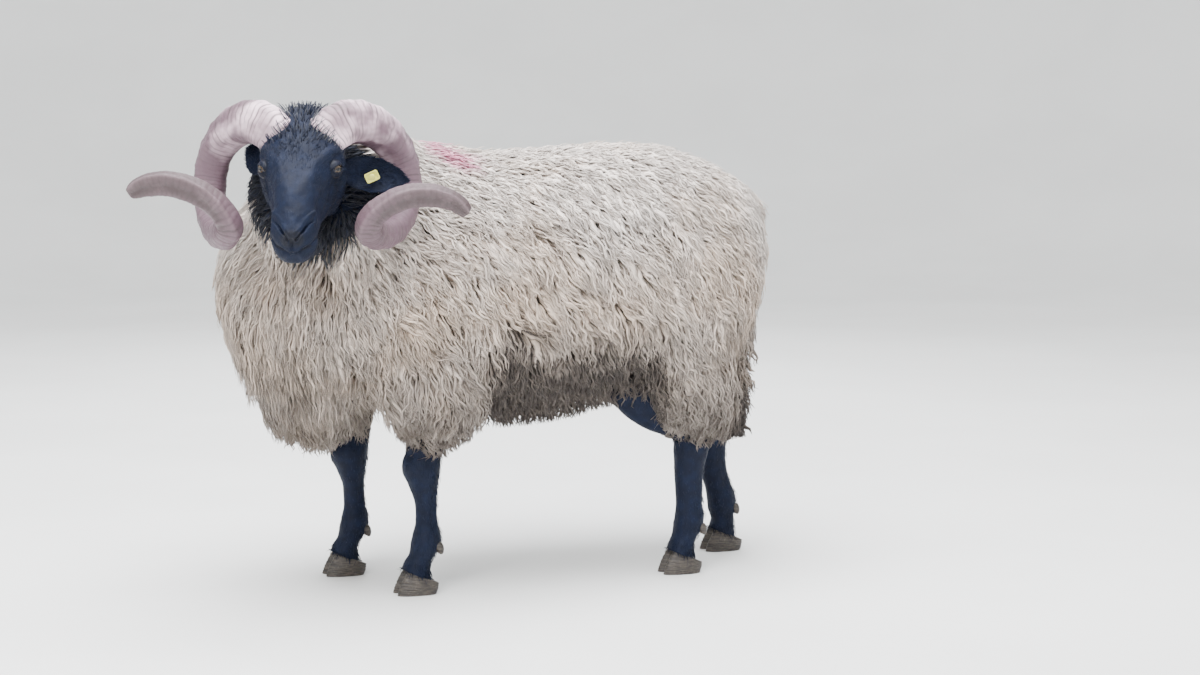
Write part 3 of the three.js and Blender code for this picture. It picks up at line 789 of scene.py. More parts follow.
def tag_finish():
    made = Finish("tag", 0.42, Specular_IOR_Level=0.5)
    grime = made.patches(140, 5, 0.45, 0.75, 0.0, 0.6, roughness=0.65)
    colour = made.mix(grime, (0.52, 0.51, 0.07), (0.27, 0.26, 0.08))
    worn = made.span(made.node("NewGeometry").outputs["Pointiness"], 0.5, 0.6, 0.0, 0.5)
    made.colour(made.mix(worn, colour, (0.66, 0.64, 0.26)))
    made.bump(made.noise(900, 4, 0.6), 0.0003, 0.5)
    made.roughness(made.patches(90, 3, 0.3, 0.7, 0.34, 0.6))
    return made.made


def floor_finish():
    made = Finish("floor", 0.9, Specular_IOR_Level=0.2)
    made.colour(made.mix(made.patches(1.5, 3, 0.3, 0.7), (0.80, 0.80, 0.79), (0.84, 0.84, 0.83)))
    made.bump(made.noise(70, 3), 0.001, 0.15)
    return made.made


# ---- studio


def studio():
    """Camera at the photograph's angle, pale floor, a soft overhead sky and a soft fill."""
    scene = bpy.context.scene
    heading, pitch = CAMERA["heading"], CAMERA["pitch"]
    look = Vector((
        -math.sin(heading) * math.cos(pitch), -math.cos(heading) * math.cos(pitch), -math.sin(pitch),
    ))
    data = bpy.data.cameras.new("camera")
    data.lens, data.sensor_width = CAMERA["lens"], 36
    eye = bpy.data.objects.new("camera", data)
    eye.location = CAMERA["place"]
    eye.rotation_euler = look.to_track_quat("-Z", "Y").to_euler()
    scene.collection.objects.link(eye)
    scene.camera = eye
    for name, place, size, energy, tint in LIGHTS:
        lamp = bpy.data.lights.new(name, "AREA")
        lamp.shape, lamp.size, lamp.energy, lamp.color = "DISK", size, energy, tint
        thing = bpy.data.objects.new(name, lamp)
        thing.location = place
        thing.rotation_euler = (Vector((0, 0, 0.4)) - Vector(place)).to_track_quat("-Z", "Y").to_euler()
        scene.collection.objects.link(thing)
    world = bpy.data.worlds.new("studio")
    world.use_nodes = True
    light = world.node_tree.nodes["Background"].inputs
    light["Color"].default_value, light["Strength"].default_value = AMBIENT, AMBIENT_STRENGTH
    scene.world = world
    sweep = [(x, 0) for x in (0.01, 2, 4, 6)] + [
        (6 + 4 * math.sin(a), 4 - 4 * math.cos(a)) for a in np.radians(range(9, 91, 9))] + [(10, 7), (10, 10)]
    turn = np.arange(72) * 2 * np.pi / 72
    rings = [[(r * math.cos(a), r * math.sin(a), z) for a in turn] for r, z in sweep]
    faces = [face[::-1] for face in loft_faces(len(sweep) - 1, 72)[:-1]]
    mesh = bpy.data.meshes.new("floor")
    mesh.from_pydata(sum(rings, []), [], faces)
    floor = linked("floor", mesh, floor_finish())


# ---- head


def gaze(side, turn=SLIT_TURN):
    """Outward, level and upward directions of an eye, in the face's frame."""
    level = turned("Y", -turn) @ np.array([1.0, 0.0, 0.0])
    ahead = turned("Y", -HEAD_BOW) @ np.array([math.sin(GAZE_FORWARD), 0.0, 0.0])
    out = ahead + np.array([0.0, side * math.cos(GAZE_FORWARD), 0.0])
    level = unit(level - out * (level @ out))
    up = np.cross(out, level)
    return out, level, up if up[2] > 0 else -up


def eye_centre(side):
    return EYE * np.array([1, side, 1])


def grid_normals(rings, centre):
    """Outward directions of a lofted surface."""
    around = np.roll(rings, -1, 1) - np.roll(rings, 1, 1)
    made = unit(np.cross(around, np.gradient(rings, axis=0)))
    return made * np.sign(dot(made, rings - centre).sum())


def laid_on(points, line):
    """A line drawn between places near a surface, moved onto the surface's own points."""
    line = np.asarray(line, float)
    steps = np.linspace(0, len(line) - 1, 6 * len(line) - 5)
    drawn = np.stack([np.interp(steps, range(len(line)), line[:, k]) for k in range(3)], -1)
    flat = points.reshape(-1, 3)
    return [flat[np.argmin(((flat - place) ** 2).sum(-1))] for place in drawn]


def modelled(points, centre):
    """The skull's points moved out and in by the face's forms."""
    lift = 0.4 * ripple(points, 14, 8) + 0.8 * ripple(points, 40, 9)
    for side in (1, -1):
        for place, reach, height in SWELLINGS:
            lift += height * bell(off_line(points * [1, side, 1], [place, place]), reach)
    points = points + unit(points - centre) * lift[..., None]
    outward = grid_normals(points, centre)
    lift = np.zeros(points.shape[:2])
    for side in (1, -1):
        for line, reach, height in FEATURES:
            share = 0.5 if all(p[1] == 0 for p in line) else 1.0
            drawn = laid_on(points, [(x, side * y, z) for x, y, z in line])
            lift += share * height * bell(off_line(points, drawn), reach)
    points = points + outward * lift[..., None]
    for side in (1, -1):
        out, _, _ = gaze(side)
        away = points - eye_centre(side)
        far = np.linalg.norm(away, axis=-1)
        off = np.degrees(np.arccos(np.clip(away @ out / far, -1, 1)))
        share = 1 - ease(48, 82, off)
        fold = 1.1 * bell(off - 60, 5)
        wanted = EYE_RADIUS + LID - fold
        points = points + away / far[..., None] * ((wanted - far) * share)[..., None]
    return points


def skull():
    rings, centre, _, _ = loft(SKULL, *MESH["skull"])
    return lofted("skull", from_face(modelled(rings, centre)))


def slit_line(side, count, grow=0.0):
    """Directions of the opening between the lids, from the eyeball's centre."""
    out, level, up = gaze(side)
    turn = full_circle(count)
    across = (SLIT[0] + grow) * np.cos(turn)
    lift = (SLIT[1] + grow) * np.sin(turn) * (1 - 0.2 * np.cos(turn) ** 2)
    lift = np.where(lift > 0, lift, lift * 0.85)
    depth = np.sqrt(np.maximum(EYE_RADIUS ** 2 - across ** 2 - lift ** 2, 4))
    return unit(out * depth[:, None] + level * across[:, None] + up * lift[:, None])


def open_lids(head, side):
    """Cut the opening between the lids and the socket behind it."""
    line = slit_line(side, 56)
    radii = [6, EYE_RADIUS - 2, EYE_RADIUS + 1, EYE_RADIUS + 8]
    cone = eye_centre(side) + np.stack([line * r for r in radii])
    if side < 0:
        cone = cone[:, ::-1]
    cut_or_joined(head, lofted("opening", from_face(cone)), "DIFFERENCE")
    ball = lofted("socket", from_face(ball_points(side, EYE_RADIUS + SOCKET_GAP)))
    return cut_or_joined(head, ball, "DIFFERENCE")


def ball_points(side, radius, rows=48, columns=64, bulge=0.0):
    """Rings of an eyeball from its front to its back; the clear front may bulge."""
    out, level, up = gaze(side)
    polar = np.linspace(0.02, np.pi - 0.02, rows + 1)[:, None]
    turn = full_circle(columns)[None]
    reach = radius + bulge * (1 - ease(0, 0.7, polar))
    x, around = reach * np.cos(polar) + 0 * turn, reach * np.sin(polar)
    y, z = around * np.cos(turn), around * np.sin(turn)
    return eye_centre(side) + x[..., None] * out + y[..., None] * level + z[..., None] * up


def lid_rims(side):
    """The moist edge of the two lids: a thin rim round the opening."""
    line = slit_line(side, 72, 0.3)
    middle = eye_centre(side) + line * (EYE_RADIUS + RIM_OUT)
    along = unit(np.roll(middle, -1, 0) - np.roll(middle, 1, 0))
    outward = unit(middle - eye_centre(side))
    across = np.cross(outward, along)
    points = np.stack([middle + RIM_THICK * (math.cos(turn) * outward + math.sin(turn) * across)
                       for turn in np.arange(8) * np.pi / 4], 1)
    row = 8 * np.arange(len(middle))[:, None]
    faces = bands(row, np.roll(row, -1, 0), np.arange(8)).tolist()
    return shaped("rim", from_face(points), faces)


def eye(name, side, finish):
    rings = ball_points(side, EYE_RADIUS, bulge=1.2)
    made = lofted(f"eyeball_{name}", from_face(rings), finish, "eye")
    _, level, up = gaze(side, PUPIL_TURN)
    away = rings.reshape(-1, 3) - eye_centre(side)
    mark(made.data, "across", away @ level)
    mark(made.data, "up", away @ up)
    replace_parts(made, f"eye_{name}")


# ---- horns, ears, tag


def horn_rows(name):
    side, spread = SIDES[name], SPREAD[name]
    bend = [(x, out * spread, *rest, 2.3, 3.0) for x, out, *rest in HORN_BEND]
    end = [(*row, 2.1, 2.3) for row in HORN_END[name]]
    close = [(a + 0.22 * (a - b)) for a, b in zip(end[-1][:3], end[-2][:3])]
    rows = bend + end + [(*close, 1, 1, 1, 2, 2)]
    return [(x, side * out, *rest) for x, out, *rest in rows]


def horn_side(centre, along):
    away = centre - np.array([HORN_COIL[0], 0, HORN_COIL[1]])
    away[:, 1] = 0
    return -np.cross(along, away)


def horn(name, finish):
    rings, centre, t, angle = loft(horn_rows(name), *MESH["horn"], side=horn_side)
    outward = unit(rings - centre)
    warp = 0.35 * ripple(rings, 60, 12) + 0.16 * ripple(rings, 16, 13)
    cycle = 2 * np.pi * RINGS * t ** 0.85 + warp
    wave = 0.5 + 0.5 * np.cos(cycle + 0.5 * np.sin(cycle))
    strong = np.sqrt(1 - t) * (0.75 + 0.45 * np.sin(angle))
    fine = 0.5 + 0.5 * np.cos(3 * cycle + 1.5 * ripple(rings, 34, 14))
    lift = strong * (1.3 * (wave - 0.62) + 0.9 * (fine ** 0.5 - 0.7)) + 0.7 * ripple(rings, 24, 15) * (1 - t)
    blade = ease(0.56, 0.72, t) * (1 - ease(0.93, 1.0, t))
    below = (angle - 0.5 * np.pi) * SIDES[name] + 0.55  # from the keel, up and ahead, to the lower face
    hollow = bell(below - 1.0, 0.6)
    lift += blade * (5.0 * bell(below, 0.24) - 5.0 * hollow - 1.5 * bell(below + 0.75, 0.4))
    rings = rings + outward * lift[..., None]
    made = lofted(f"horn_sheath_{name}", from_head(rings), finish, "horn")
    mark(made.data, "along", np.broadcast_to(t, wave.shape))
    # colour for painted shade: dark lines in the ring grooves, and the blade's lower face
    lines = (1 - fine) ** 3 * (0.6 + 0.4 * ripple(rings, 50, 16)) + 0.3 * (1 - wave) ** 2
    lines = 0.85 * lines * (0.6 + 0.4 * strong) * (1 - 0.5 * blade)
    mark(made.data, "groove_and_blade_shade", np.clip(lines + 0.8 * blade * hollow, 0, 1))
    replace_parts(made, f"horn_{name}")
    return made


def ear(name):
    side = SIDES[name]
    root, tip = (np.array(p) * np.array([1, side, 1]) for p in EAR[name])
    along = unit(tip - root)
    rows = [(*(root + (tip - root) * share), back, front, width, 2, 2)
            for share, back, front, width in EAR_LEAF]
    level = np.cross(along, [1.0, 0, 0])
    rings, centre, t, angle = loft(rows, *MESH["ear"], side=lambda c, a: np.tile(level, (len(c), 1)))
    rings = rings + unit(rings - centre) * (0.7 * ripple(rings, 15, 20))[..., None]
    across = np.abs(np.cos(angle)) * ease(0.1, 0.4, t) * (1 - 0.5 * ease(0.7, 1.0, t))
    rings[..., 0] += 6 * across ** 2
    return lofted(f"ear_{name}_leaf", from_head(rings))


def rounded_plate(length, height, corner, thick):
    """Outline rings of a plate with soft edges."""
    turn = full_circle(48)
    c, s = np.cos(turn), np.sin(turn)
    outline = np.stack([
        np.sign(c) * (length / 2 - corner) + corner * c, np.sign(s) * (height / 2 - corner) + corner * s,
    ], -1)
    rings = []
    for inset, z in [(6, 0), (0.5, 0), (0, 0.5), (0, thick - 0.5), (0.5, thick), (1.6, thick),
                     (1.9, thick - 0.35), (6, thick - 0.35)]:
        shrink = 1 - inset / np.array([length / 2, height / 2])
        rings.append(np.column_stack([outline * shrink, np.full(48, z)]))
    return np.stack(rings)


def disc(profile):
    """A turned form from (radius, height) pairs."""
    turn = full_circle(40)
    return np.stack([np.column_stack([r * np.cos(turn), r * np.sin(turn), np.full(40, z)])
                     for r, z in profile])


def ear_tag(finish):
    """Blank plate before the ear with its stud, and the button behind it."""
    parts = [
        rounded_plate(TAG["length"], TAG["height"], 3, TAG["thick"]),
        disc([(0.1, -19.9), (6.4, -19.9), (7, -19.3), (7, -18.6), (6.3, -18), (2.4, -17.4), (2.1, -16),
              (2.1, 1), (4.2, 1.5), (4.4, 2.1), (3.4, 2.7), (0.1, 3.0)]),
    ]
    spin = turned("Y", math.pi / 2) @ turned("Z", math.radians(90 + TAG["tilt"]))
    place = np.array([TAG["front"], TAG["out"], TAG["up"]])
    points, faces = joined([rings_mesh(from_head(rings @ spin.T + place)) for rings in parts])
    made = faced_out(shaped("tag_plate_and_button", points, faces, finish, "tag"))
    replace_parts(made, "ear_tag")


# ---- legs


def coronet(x, stand):
    return CORONET[1] + (x - stand[0] - CORONET[0]) * CORONET[2]


def trailing(name, z):
    """How far forward of upright a leg stands at a height."""
    return np.interp(z, TRAILING_HEIGHT, TRAILING_SHIFT) * (name == TRAILING_LEG)


def leg(name):
    """A bare leg with its tendons, knee or hock and fetlock, flat where the claws begin."""
    fore = name.startswith("fore")
    stand = STANDS[name]
    rows = [(stand[0] + dx + trailing(name, z), stand[1], z, front, back, width, 2.2, 2.2)
            for dx, z, front, back, width in (FORELEG if fore else HINDLEG)]
    rings, centre, _, _ = loft(rows, *MESH["leg"])
    outward = unit(rings - centre)
    local = rings - np.array([stand[0], stand[1], 0])
    local[..., 0] -= trailing(name, rings[..., 2])
    local[..., 1] = np.abs(local[..., 1])
    lift = 0.5 * ripple(rings, 30, 17)
    for line, reach, height in SHIN_FORMS + (KNEE_FORMS if fore else HOCK_FORMS):
        lift = lift + height * bell(off_line(local, line), reach)
    rings = rings + outward * lift[..., None]
    rings[..., 2] = np.maximum(rings[..., 2], coronet(rings[..., 0], stand) - 2)
    return lofted(f"{name}_shape", rings)


def claws(name, finish):
    """The two claws of a foot and the two false claws behind the fetlock."""
    stand = STANDS[name]
    for which, turn in (("inner", -np.sign(stand[1])), ("outer", np.sign(stand[1]))):
        middle = stand[1] + turn * CLAW_OUT
        rows = [(stand[0] + dx, middle, z, heel, toe, width, 2.5, 1.75)
                for dx, z, toe, heel, width in CLAW]
        rings, centre, t, _ = loft(rows, *MESH["claw"], facing=(0, 0, 1))
        outward = unit((rings - centre) * np.array([1, 1, 0]))
        layers = 0.35 * np.sin(t * 46 + 1.2 * ripple(rings, 30, 21)) + 0.4 * ripple(rings, 12, 22)
        rings = rings + outward * (layers * ease(0, 0.06, t) - 1.2 * (1 - ease(0, 0.05, t)))[..., None]
        rings[..., 2] *= coronet(rings[..., 0], stand) / CLAW[-1][1]
        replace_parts(lofted(f"{name}_claw_{which}_horn", rings, finish, "claw"), f"{name}_claw_{which}")
    nub = disc(FALSE_CLAW) @ turned("Y", FALSE_CLAW_LEAN).T
    behind, out, up = FALSE_CLAW_PLACE
    behind -= trailing(name, up + 8)
    nubs = [rings_mesh(nub + np.array([stand[0] - behind, stand[1] + side * out, up])) for side in (1, -1)]
    faced_out(shaped(f"{name}_false_claws", *joined(nubs), finish, "claw"))


# ---- skin


def body_core(guide):
    """The fleece's surface drawn in by the depth of the wool: less on the back, where the coat is
    black, and where a part is thin."""
    made = guide.copy()
    made.data = guide.data.copy()
    bpy.context.scene.collection.objects.link(made)
    relaxed(made.data, 4)
    points, normals = points_of(made.data)
    tree = Surface(made).tree
    room = np.empty(len(points))
    for i, (point, normal) in enumerate(zip(points.tolist(), normals.tolist())):
        hit = tree.ray_cast(Vector(point) - Vector(normal), -Vector(normal), 400)
        room[i] = hit[3] if hit[0] else 400
    wool = SKIN_DEPTH["flank"] - SKIN_DEPTH["black"]
    less_above = (SKIN_DEPTH["flank"] - SKIN_DEPTH["back"]) * ease(0.25, 0.75, normals[:, 2])
    wanted = SKIN_DEPTH["black"] + (wool - less_above) * (1 - blackness(points))
    depth = np.minimum(wanted, THIN_SHARE * room)
    set_points(made.data, points - normals * depth[:, None])
    relaxed(made.data, 6)
    return modified(made, "REMESH", mode="VOXEL", voxel_size=CORE_VOXEL / 1000)


def skin(core, finish):
    """Body, head, ears and legs as one closed surface."""
    head = skull()
    for name in SIDES:
        cut_or_joined(head, ear(name), "UNION")
    for side in SIDES.values():
        open_lids(head, side)
    for name in STANDS:
        cut_or_joined(core, leg(name), "UNION")
    made = cut_or_joined(core, head, "UNION")
    for side in SIDES.values():
        cut_or_joined(made, faced_out(lid_rims(side)), "UNION")
    made.name = made.data.name = "skin"
    made.data.materials.clear()
    made.data.materials.append(finish)
    made.data.shade_smooth()
    points, _ = points_of(made.data)
    face = to_face(points)
    nose = 1 - ease(9, 17, off_line(face, [(152, -9, -8), (152, 9, -8)]))
    lips = 1 - ease(1.5, 4, off_line(np.abs(face * [1, 1, 0]) + face * [0, 0, 1], FEATURES[0][0]))
    rims = [1 - ease(0.5, 3.5, np.linalg.norm(face - eye_centre(s), axis=-1) - EYE_RADIUS - 0.4)
            for s in SIDES.values()]
    mark(made.data, "bare", np.max([nose, lips, *rims], axis=0))
    # the third mark is dirt and painted shade
    for word, rule in (("black", blackness), ("stain", stain), ("soil", soil)):
        mark(made.data, word, rule(points))
    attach(made, "root")
    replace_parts(made, *FLESH)
    return made


# ---- coat


def strands(name, path, outward, width, thick, marks, place, finish, slot):
    """Closed, tapering three-sided strands along paths of points, as one mesh. place is each
    strand's root on an unwrap of the skin, where its small patch of the OFBake map lies."""
    count, rings = path.shape[:2]
    along = unit(np.gradient(path, axis=1))
    across = unit(np.cross(outward, along))
    up = np.cross(along, across)
    share = np.linspace(0, 1, rings)
    corners = []
    for turn in np.radians([90, 210, 330]):
        corners.append(path + across * (width * math.cos(turn))[..., None]
                       + up * (thick * math.sin(turn))[..., None])
    body = np.stack(corners, 2)[:, :-1].reshape(count, -1, 3)
    points = np.concatenate([body, path[:, -1:]], 1)
    per = points.shape[1]
    ring = np.arange(3)
    start = 3 * np.arange(rings - 2)[:, None]
    quads = bands(start, start + 3, ring)
    last = 3 * (rings - 2)
    tips = np.stack([last + ring, last + np.roll(ring, -1), np.full(3, per - 1)], -1)
    corner_list = np.concatenate([quads.ravel(), tips.ravel(), [2, 1, 0]])
    sizes = np.concatenate([np.full(len(quads), 4), np.full(len(tips) + 1, 3)])
    loops = (corner_list[None] + per * np.arange(count)[:, None]).ravel()
    starts = np.concatenate([[0], np.cumsum(np.tile(sizes, count))[:-1]])
    mesh = bpy.data.meshes.new(name)
    mesh.vertices.add(count * per)
    mesh.vertices.foreach_set("co", to_row(points).astype(np.float32).ravel())
    mesh.loops.add(len(loops))
    mesh.loops.foreach_set("vertex_index", loops.astype(np.int32))
    mesh.polygons.add(len(starts))
    mesh.polygons.foreach_set("loop_start", starts.astype(np.int32))
    mesh.update(calc_edges=True)
    along_share = np.append(np.repeat(share[:-1], 3), 1.0)
    round_share = np.append(np.tile([0.5, 0.0, 1.0], rings - 1), 0.5)
    local = np.stack([round_share, along_share], -1)
    bake = place[:, None] + (local - 0.5)[None] * BAKE_PATCH
    lock = np.stack([round_share[None] + 7.3 * np.arange(count)[:, None],
                     np.broadcast_to(along_share, (count, per))], -1)
    for word, values in (("OFBake", bake), ("lock", lock)):
        layer = mesh.uv_layers.new(name=word)
        layer.data.foreach_set("uv", values.reshape(-1, 2)[loops].astype(np.float32).ravel())
    mesh.uv_layers.active = mesh.uv_layers["OFBake"]
    mark(mesh, "along", np.tile(along_share, count))
    for word, values in marks.items():
        mark(mesh, word, np.repeat(values, per))
    return linked(name, mesh, finish, slot)


def fleece_flow(points, normals):
    """The way the fleece lies: down and back on the flanks, parted along the spine, away from
    the head on the neck, fanning down over the chest."""
    x, y, z = points.T
    back = -0.30 - 0.34 * ease(260, 120, x) * ease(330, 480, z) - 0.5 * ease(0.55, 0.95, normals[:, 2])
    part = np.tanh((y + 4 * ripple(points, 120, 31)) / 40) * ease(0.3, 0.9, normals[:, 2]) * 0.6
    flow = np.stack([back * ease(520, 330, x), part, -np.ones(len(x))], -1)
    from_throat = unit(points - THROAT)
    near = bell(np.linalg.norm(points - BREAST, axis=-1), BREAST_REACH)
    flow = flow + from_throat * (2.2 * near)[:, None]
    for share, size, seed in ((0.2, 90, 32), (0.14, 24, 34)):
        flow += share * np.stack([ripple(points, size, seed), ripple(points, size, seed + 1), 0 * x], -1)
    flow = unit(flow)
    return flow - normals * dot(flow, normals)[:, None]


def pushed_out(points, obstacle, gap):
    """Points moved out of an obstacle's solid."""
    low, high = obstacle.low - 20, obstacle.high + 20
    flat = points.reshape(-1, 3).copy()
    close = np.all((flat > low) & (flat < high), axis=1)
    place, outward = obstacle.nearest(flat[close])
    height = dot(flat[close] - place, outward)
    flat[close] += outward * np.where(height < gap, gap - height, 0)[:, None] * (height > -40)[:, None]
    return flat.reshape(points.shape)


def lock_paths(guide, place, normal, length, depth, layer, stand, free):
    """Paths that rise from the skin, bend over and lie along the fleece's surface, or hang free
    below it. They stop where they would reach out of the fleece's own outline."""
    for final in (False, True):
        point = place - normal * depth[:, None]
        flow = fleece_flow(place, normal)
        point = point - flow * (0.25 * length)[:, None]
        path, over = [point], np.full(len(point), LOCK_POINTS, float)
        for k in range(1, LOCK_POINTS):
            share = k / (LOCK_POINTS - 1)
            near, outward = guide.nearest(point)
            height = dot(point - near, outward)
            under = ease(-0.15, -0.75, outward[:, 2])
            flow = fleece_flow(near, outward)
            wanted = -depth * (1 - min(1.0, share / 0.42)) ** 1.6 + layer * min(1.0, share / 0.4)
            wanted = wanted + stand * max(0.0, share - 0.5) * 2
            step = length / (LOCK_POINTS - 1)
            down = np.array([0, 0, -1.0])
            way = unit(flow + down * (0.25 + 1.2 * under + free / 16)[:, None])
            point = point + way * step[:, None]
            rise = np.clip(wanted - height, -0.8 * step, 0.8 * step)
            rise = rise * (1 - 0.85 * under) * (1 - np.clip(free / 28, 0, 0.9))
            point = point + outward * rise[:, None]
            path.append(point)
            if not final:
                over = np.where((height > 9 + 26 * under + free) & (over == LOCK_POINTS), k, over)
        if not final:
            length = length * np.clip(over / LOCK_POINTS, 0.35, 1)
    return np.stack(path, 1)


def unwrapped(points, level=False):
    """A place in the unit square for each root, round and along the part it grows on, which is
    upright or level."""
    low, high = points.min(0), points.max(0)
    middle = (low + high) / 2
    axis, a, b = (0, 1, 2) if level else (2, 0, 1)
    turn = np.arctan2(points[:, b] - middle[b], points[:, a] - middle[a]) / (2 * np.pi) + 0.5
    along = (points[:, axis] - low[axis]) / max(high[axis] - low[axis], 1)
    return 0.01 + 0.98 * np.stack([turn, along], -1)


def staple_leaders(place):
    """The lock that leads each lock's staple: the nearest of a chosen few."""
    leader = rng.permutation(len(place))[: len(place) // STAPLE_LOCKS]
    tree = KDTree(len(leader))
    for i, j in enumerate(leader):
        tree.insert(place[j], i)
    tree.balance()
    return np.array([leader[tree.find(p)[1]] for p in place.tolist()])


def crimped(path, normal, length, curl, dark, mine, share):
    """Locks waved to and fro, in step with their staple."""
    along = unit(np.gradient(path, axis=1))
    across = unit(np.cross(np.repeat(normal[:, None], LOCK_POINTS, 1), along))
    pitch = rng.uniform(22, 34, len(path))[mine] * (1 - 0.15 * curl)
    phase = rng.uniform(0, 6.28, len(path))[mine] + 0.7 * rng.normal(size=len(path))
    turn = 2 * np.pi * share[None] * (length / pitch)[:, None] + phase[:, None]
    size = ((1.2 + 3.0 * curl) * (1 - 0.6 * dark))[:, None] * ease(0.1, 0.5, share)[None]
    path = path + across * (size * np.sin(turn))[..., None]
    return path + np.cross(along, across) * (0.55 * size * np.cos(turn))[..., None]


def regions(place):
    """The roots of each piece of the fleece."""
    x, y, z = place.T
    ahead, behind = x > CHEST_FROM, x <= FLANK_FROM
    chosen = {"neck": ahead & (z > NECK_FROM), "chest": ahead & (z <= NECK_FROM)}
    spans = {
        "shoulder": ~ahead & (x > FLANK_TO), "flank": ~behind & (x <= FLANK_TO),
        "rump": behind & (z > RUMP_FROM), "thigh": behind & (z <= RUMP_FROM),
    }
    for span, inside in spans.items():
        for name, side in SIDES.items():
            chosen[f"{span}_{name}"] = inside & ((y > 0) == (side > 0))
    return chosen


def fleece_roots(guide_object):
    """Where locks stand on the fleece's surface, the way out there, and how black they are."""
    place, normal = points_of(guide_object.data)
    side = unit(np.cross(normal, rng.normal(size=normal.shape)))
    place = place + side * rng.uniform(0, 5, (len(place), 1))
    dark = blackness(place) * (place[:, 2] > 450)
    face = to_face(place)
    inside_head = (np.abs(face[:, 1]) < 50) & (face[:, 0] > -105) & (face[:, 2] > -95)
    keep = ~inside_head & (place[:, 2] > FLEECE_FROM)
    keep &= rng.uniform(size=len(place)) < np.where(normal[:, 2] < -0.75, 0.7, 0.955)
    return place[keep], normal[keep], dark[keep]


def fleece(guide_object, blockers, legs, finish):
    """Locks over all the fleeced parts, gathered in staples that share their waves and tips."""
    place, normal, dark = fleece_roots(guide_object)
    count = len(place)
    x, y, z = place.T
    # how long, deep and high each lies, by the part it stands on
    under = ease(-0.2, -0.8, normal[:, 2])
    lobe = ease(420, 330, z)
    chest = ease(350, 470, x) * ease(690, 600, z)
    top = ease(0.25, 0.75, normal[:, 2])
    under_lock = rng.uniform(size=count) < UNDER_SHARE * (1 + 0.4 * top)
    depth = LOCK_DEPTH - BACK_DEPTH_LESS * top + 3 * rng.normal(size=count)
    depth = depth * (1 - dark) + RUFF_DEPTH * dark
    length = LOCK_LENGTH + CHEST_EXTRA * chest + LOBE_EXTRA * lobe - BACK_LESS * ease(0.5, 0.95, normal[:, 2])
    length = length * (1 - 0.62 * dark) * rng.uniform(0.75, 1.2, count)
    length = length * (1 - under) + (depth + 36) * under
    level = np.where(under_lock, rng.uniform(-16, -9, count), rng.uniform(-9, 1, count))
    layer = level * (1 - 0.7 * dark) * (1 - 0.4 * top) + 6 * top
    layer = layer + 4.5 * ripple(place, 75, 41) * (1 - 0.6 * top)
    stand = np.where(under_lock, 0, rng.uniform(0, 8 - 5 * top) + 6 * lobe * rng.uniform(0, 1, count))
    free = (16 + 14 * ease(380, 440, x)) * ease(330, 400, x) * ease(500, 440, z) * ease(-50, 0, y)
    free = free * np.clip(0.6 + 0.7 * ripple(place, 34, 43), 0, 1.3)
    path = lock_paths(Surface(guide_object), place, normal, length + 1.8 * free, depth, layer, stand, free)

    # leaned to the staple's tip, swept aside, crimped, and kept out of horns and legs
    mine = staple_leaders(place)
    share = np.linspace(0, 1, LOCK_POINTS)
    gather = (0.78 * ease(0.15, 1.0, share))[None, :, None] * (1 - 0.55 * top)[:, None, None]
    pull = rng.uniform(0.2, 1.0, (count, 1, 1)) * np.where(under_lock, 0.3, 1.0)[:, None, None]
    path = path + (path[mine] - path) * gather * pull
    sweep = (0.17 * rng.normal(size=count)[mine] + 0.10 * rng.normal(size=count)) * length * (1 - 0.45 * top)
    aside = unit(np.cross(normal, path[:, -1] - path[:, 0]))
    path = path + aside[:, None] * (sweep[:, None] * share[None] ** 1.5)[..., None]
    curl = 0.35 + 0.65 * np.maximum(lobe * ease(-60, -160, x), 0.35 * lobe)
    path = crimped(path, normal, length, curl, dark, mine, share)
    for thing in blockers:
        path[:, 2:] = pushed_out(path[:, 2:], thing, HORN_CLEAR)
    low_locks = path[..., 2].min(1) < LEG_TOP
    path[low_locks, 2:] = pushed_out(path[low_locks, 2:], legs, LEG_CLEAR)
    path[..., 2] = np.maximum(path[..., 2], FLEECE_CLEAR)

    # width and colour
    width = WIDTH + WIDTH_SPREAD * rng.normal(size=count).clip(-1.5, 2)
    width = np.where(under_lock, (3 - 1.6 * under) * width, width) * (1 - 0.45 * dark)
    thick = np.where(under_lock, 0.26, 0.5) * width
    taper = np.interp(share, [0, 0.25, 0.6, 0.85, 1], [0.9, 1.0, 0.85, 0.5, 0.1])
    tone = (0.18 * rng.normal(size=count) + 0.25 * rng.normal(size=count)[mine]) * (1 - 0.6 * top)
    tone = np.clip(0.5 + tone + 0.3 * (1 - top) * ripple(place, 26, 44), 0, 1)
    # the darkening mark, dirt and painted shade, is taken 25 mm lower for the locks
    marks = {"tone": tone, "black": dark, "stain": stain(place), "soil": soil(place - np.array([0, 0, 25]))}
    for region, chosen in regions(place).items():
        roots = np.where(chosen)[0]
        for number, some in enumerate(np.array_split(roots, max(1, math.ceil(len(roots) / PIECE_LOCKS)))):
            across = np.repeat(normal[some][:, None], LOCK_POINTS, 1)
            spread, flat = width[some][:, None] * taper[None], thick[some][:, None] * taper[None]
            strands(f"fleece_{region}_{number + 1}", path[some], across, spread, flat,
                    {word: values[some] for word, values in marks.items()},
                    unwrapped(place[some], level=region.startswith("flank")), finish, "fleece")


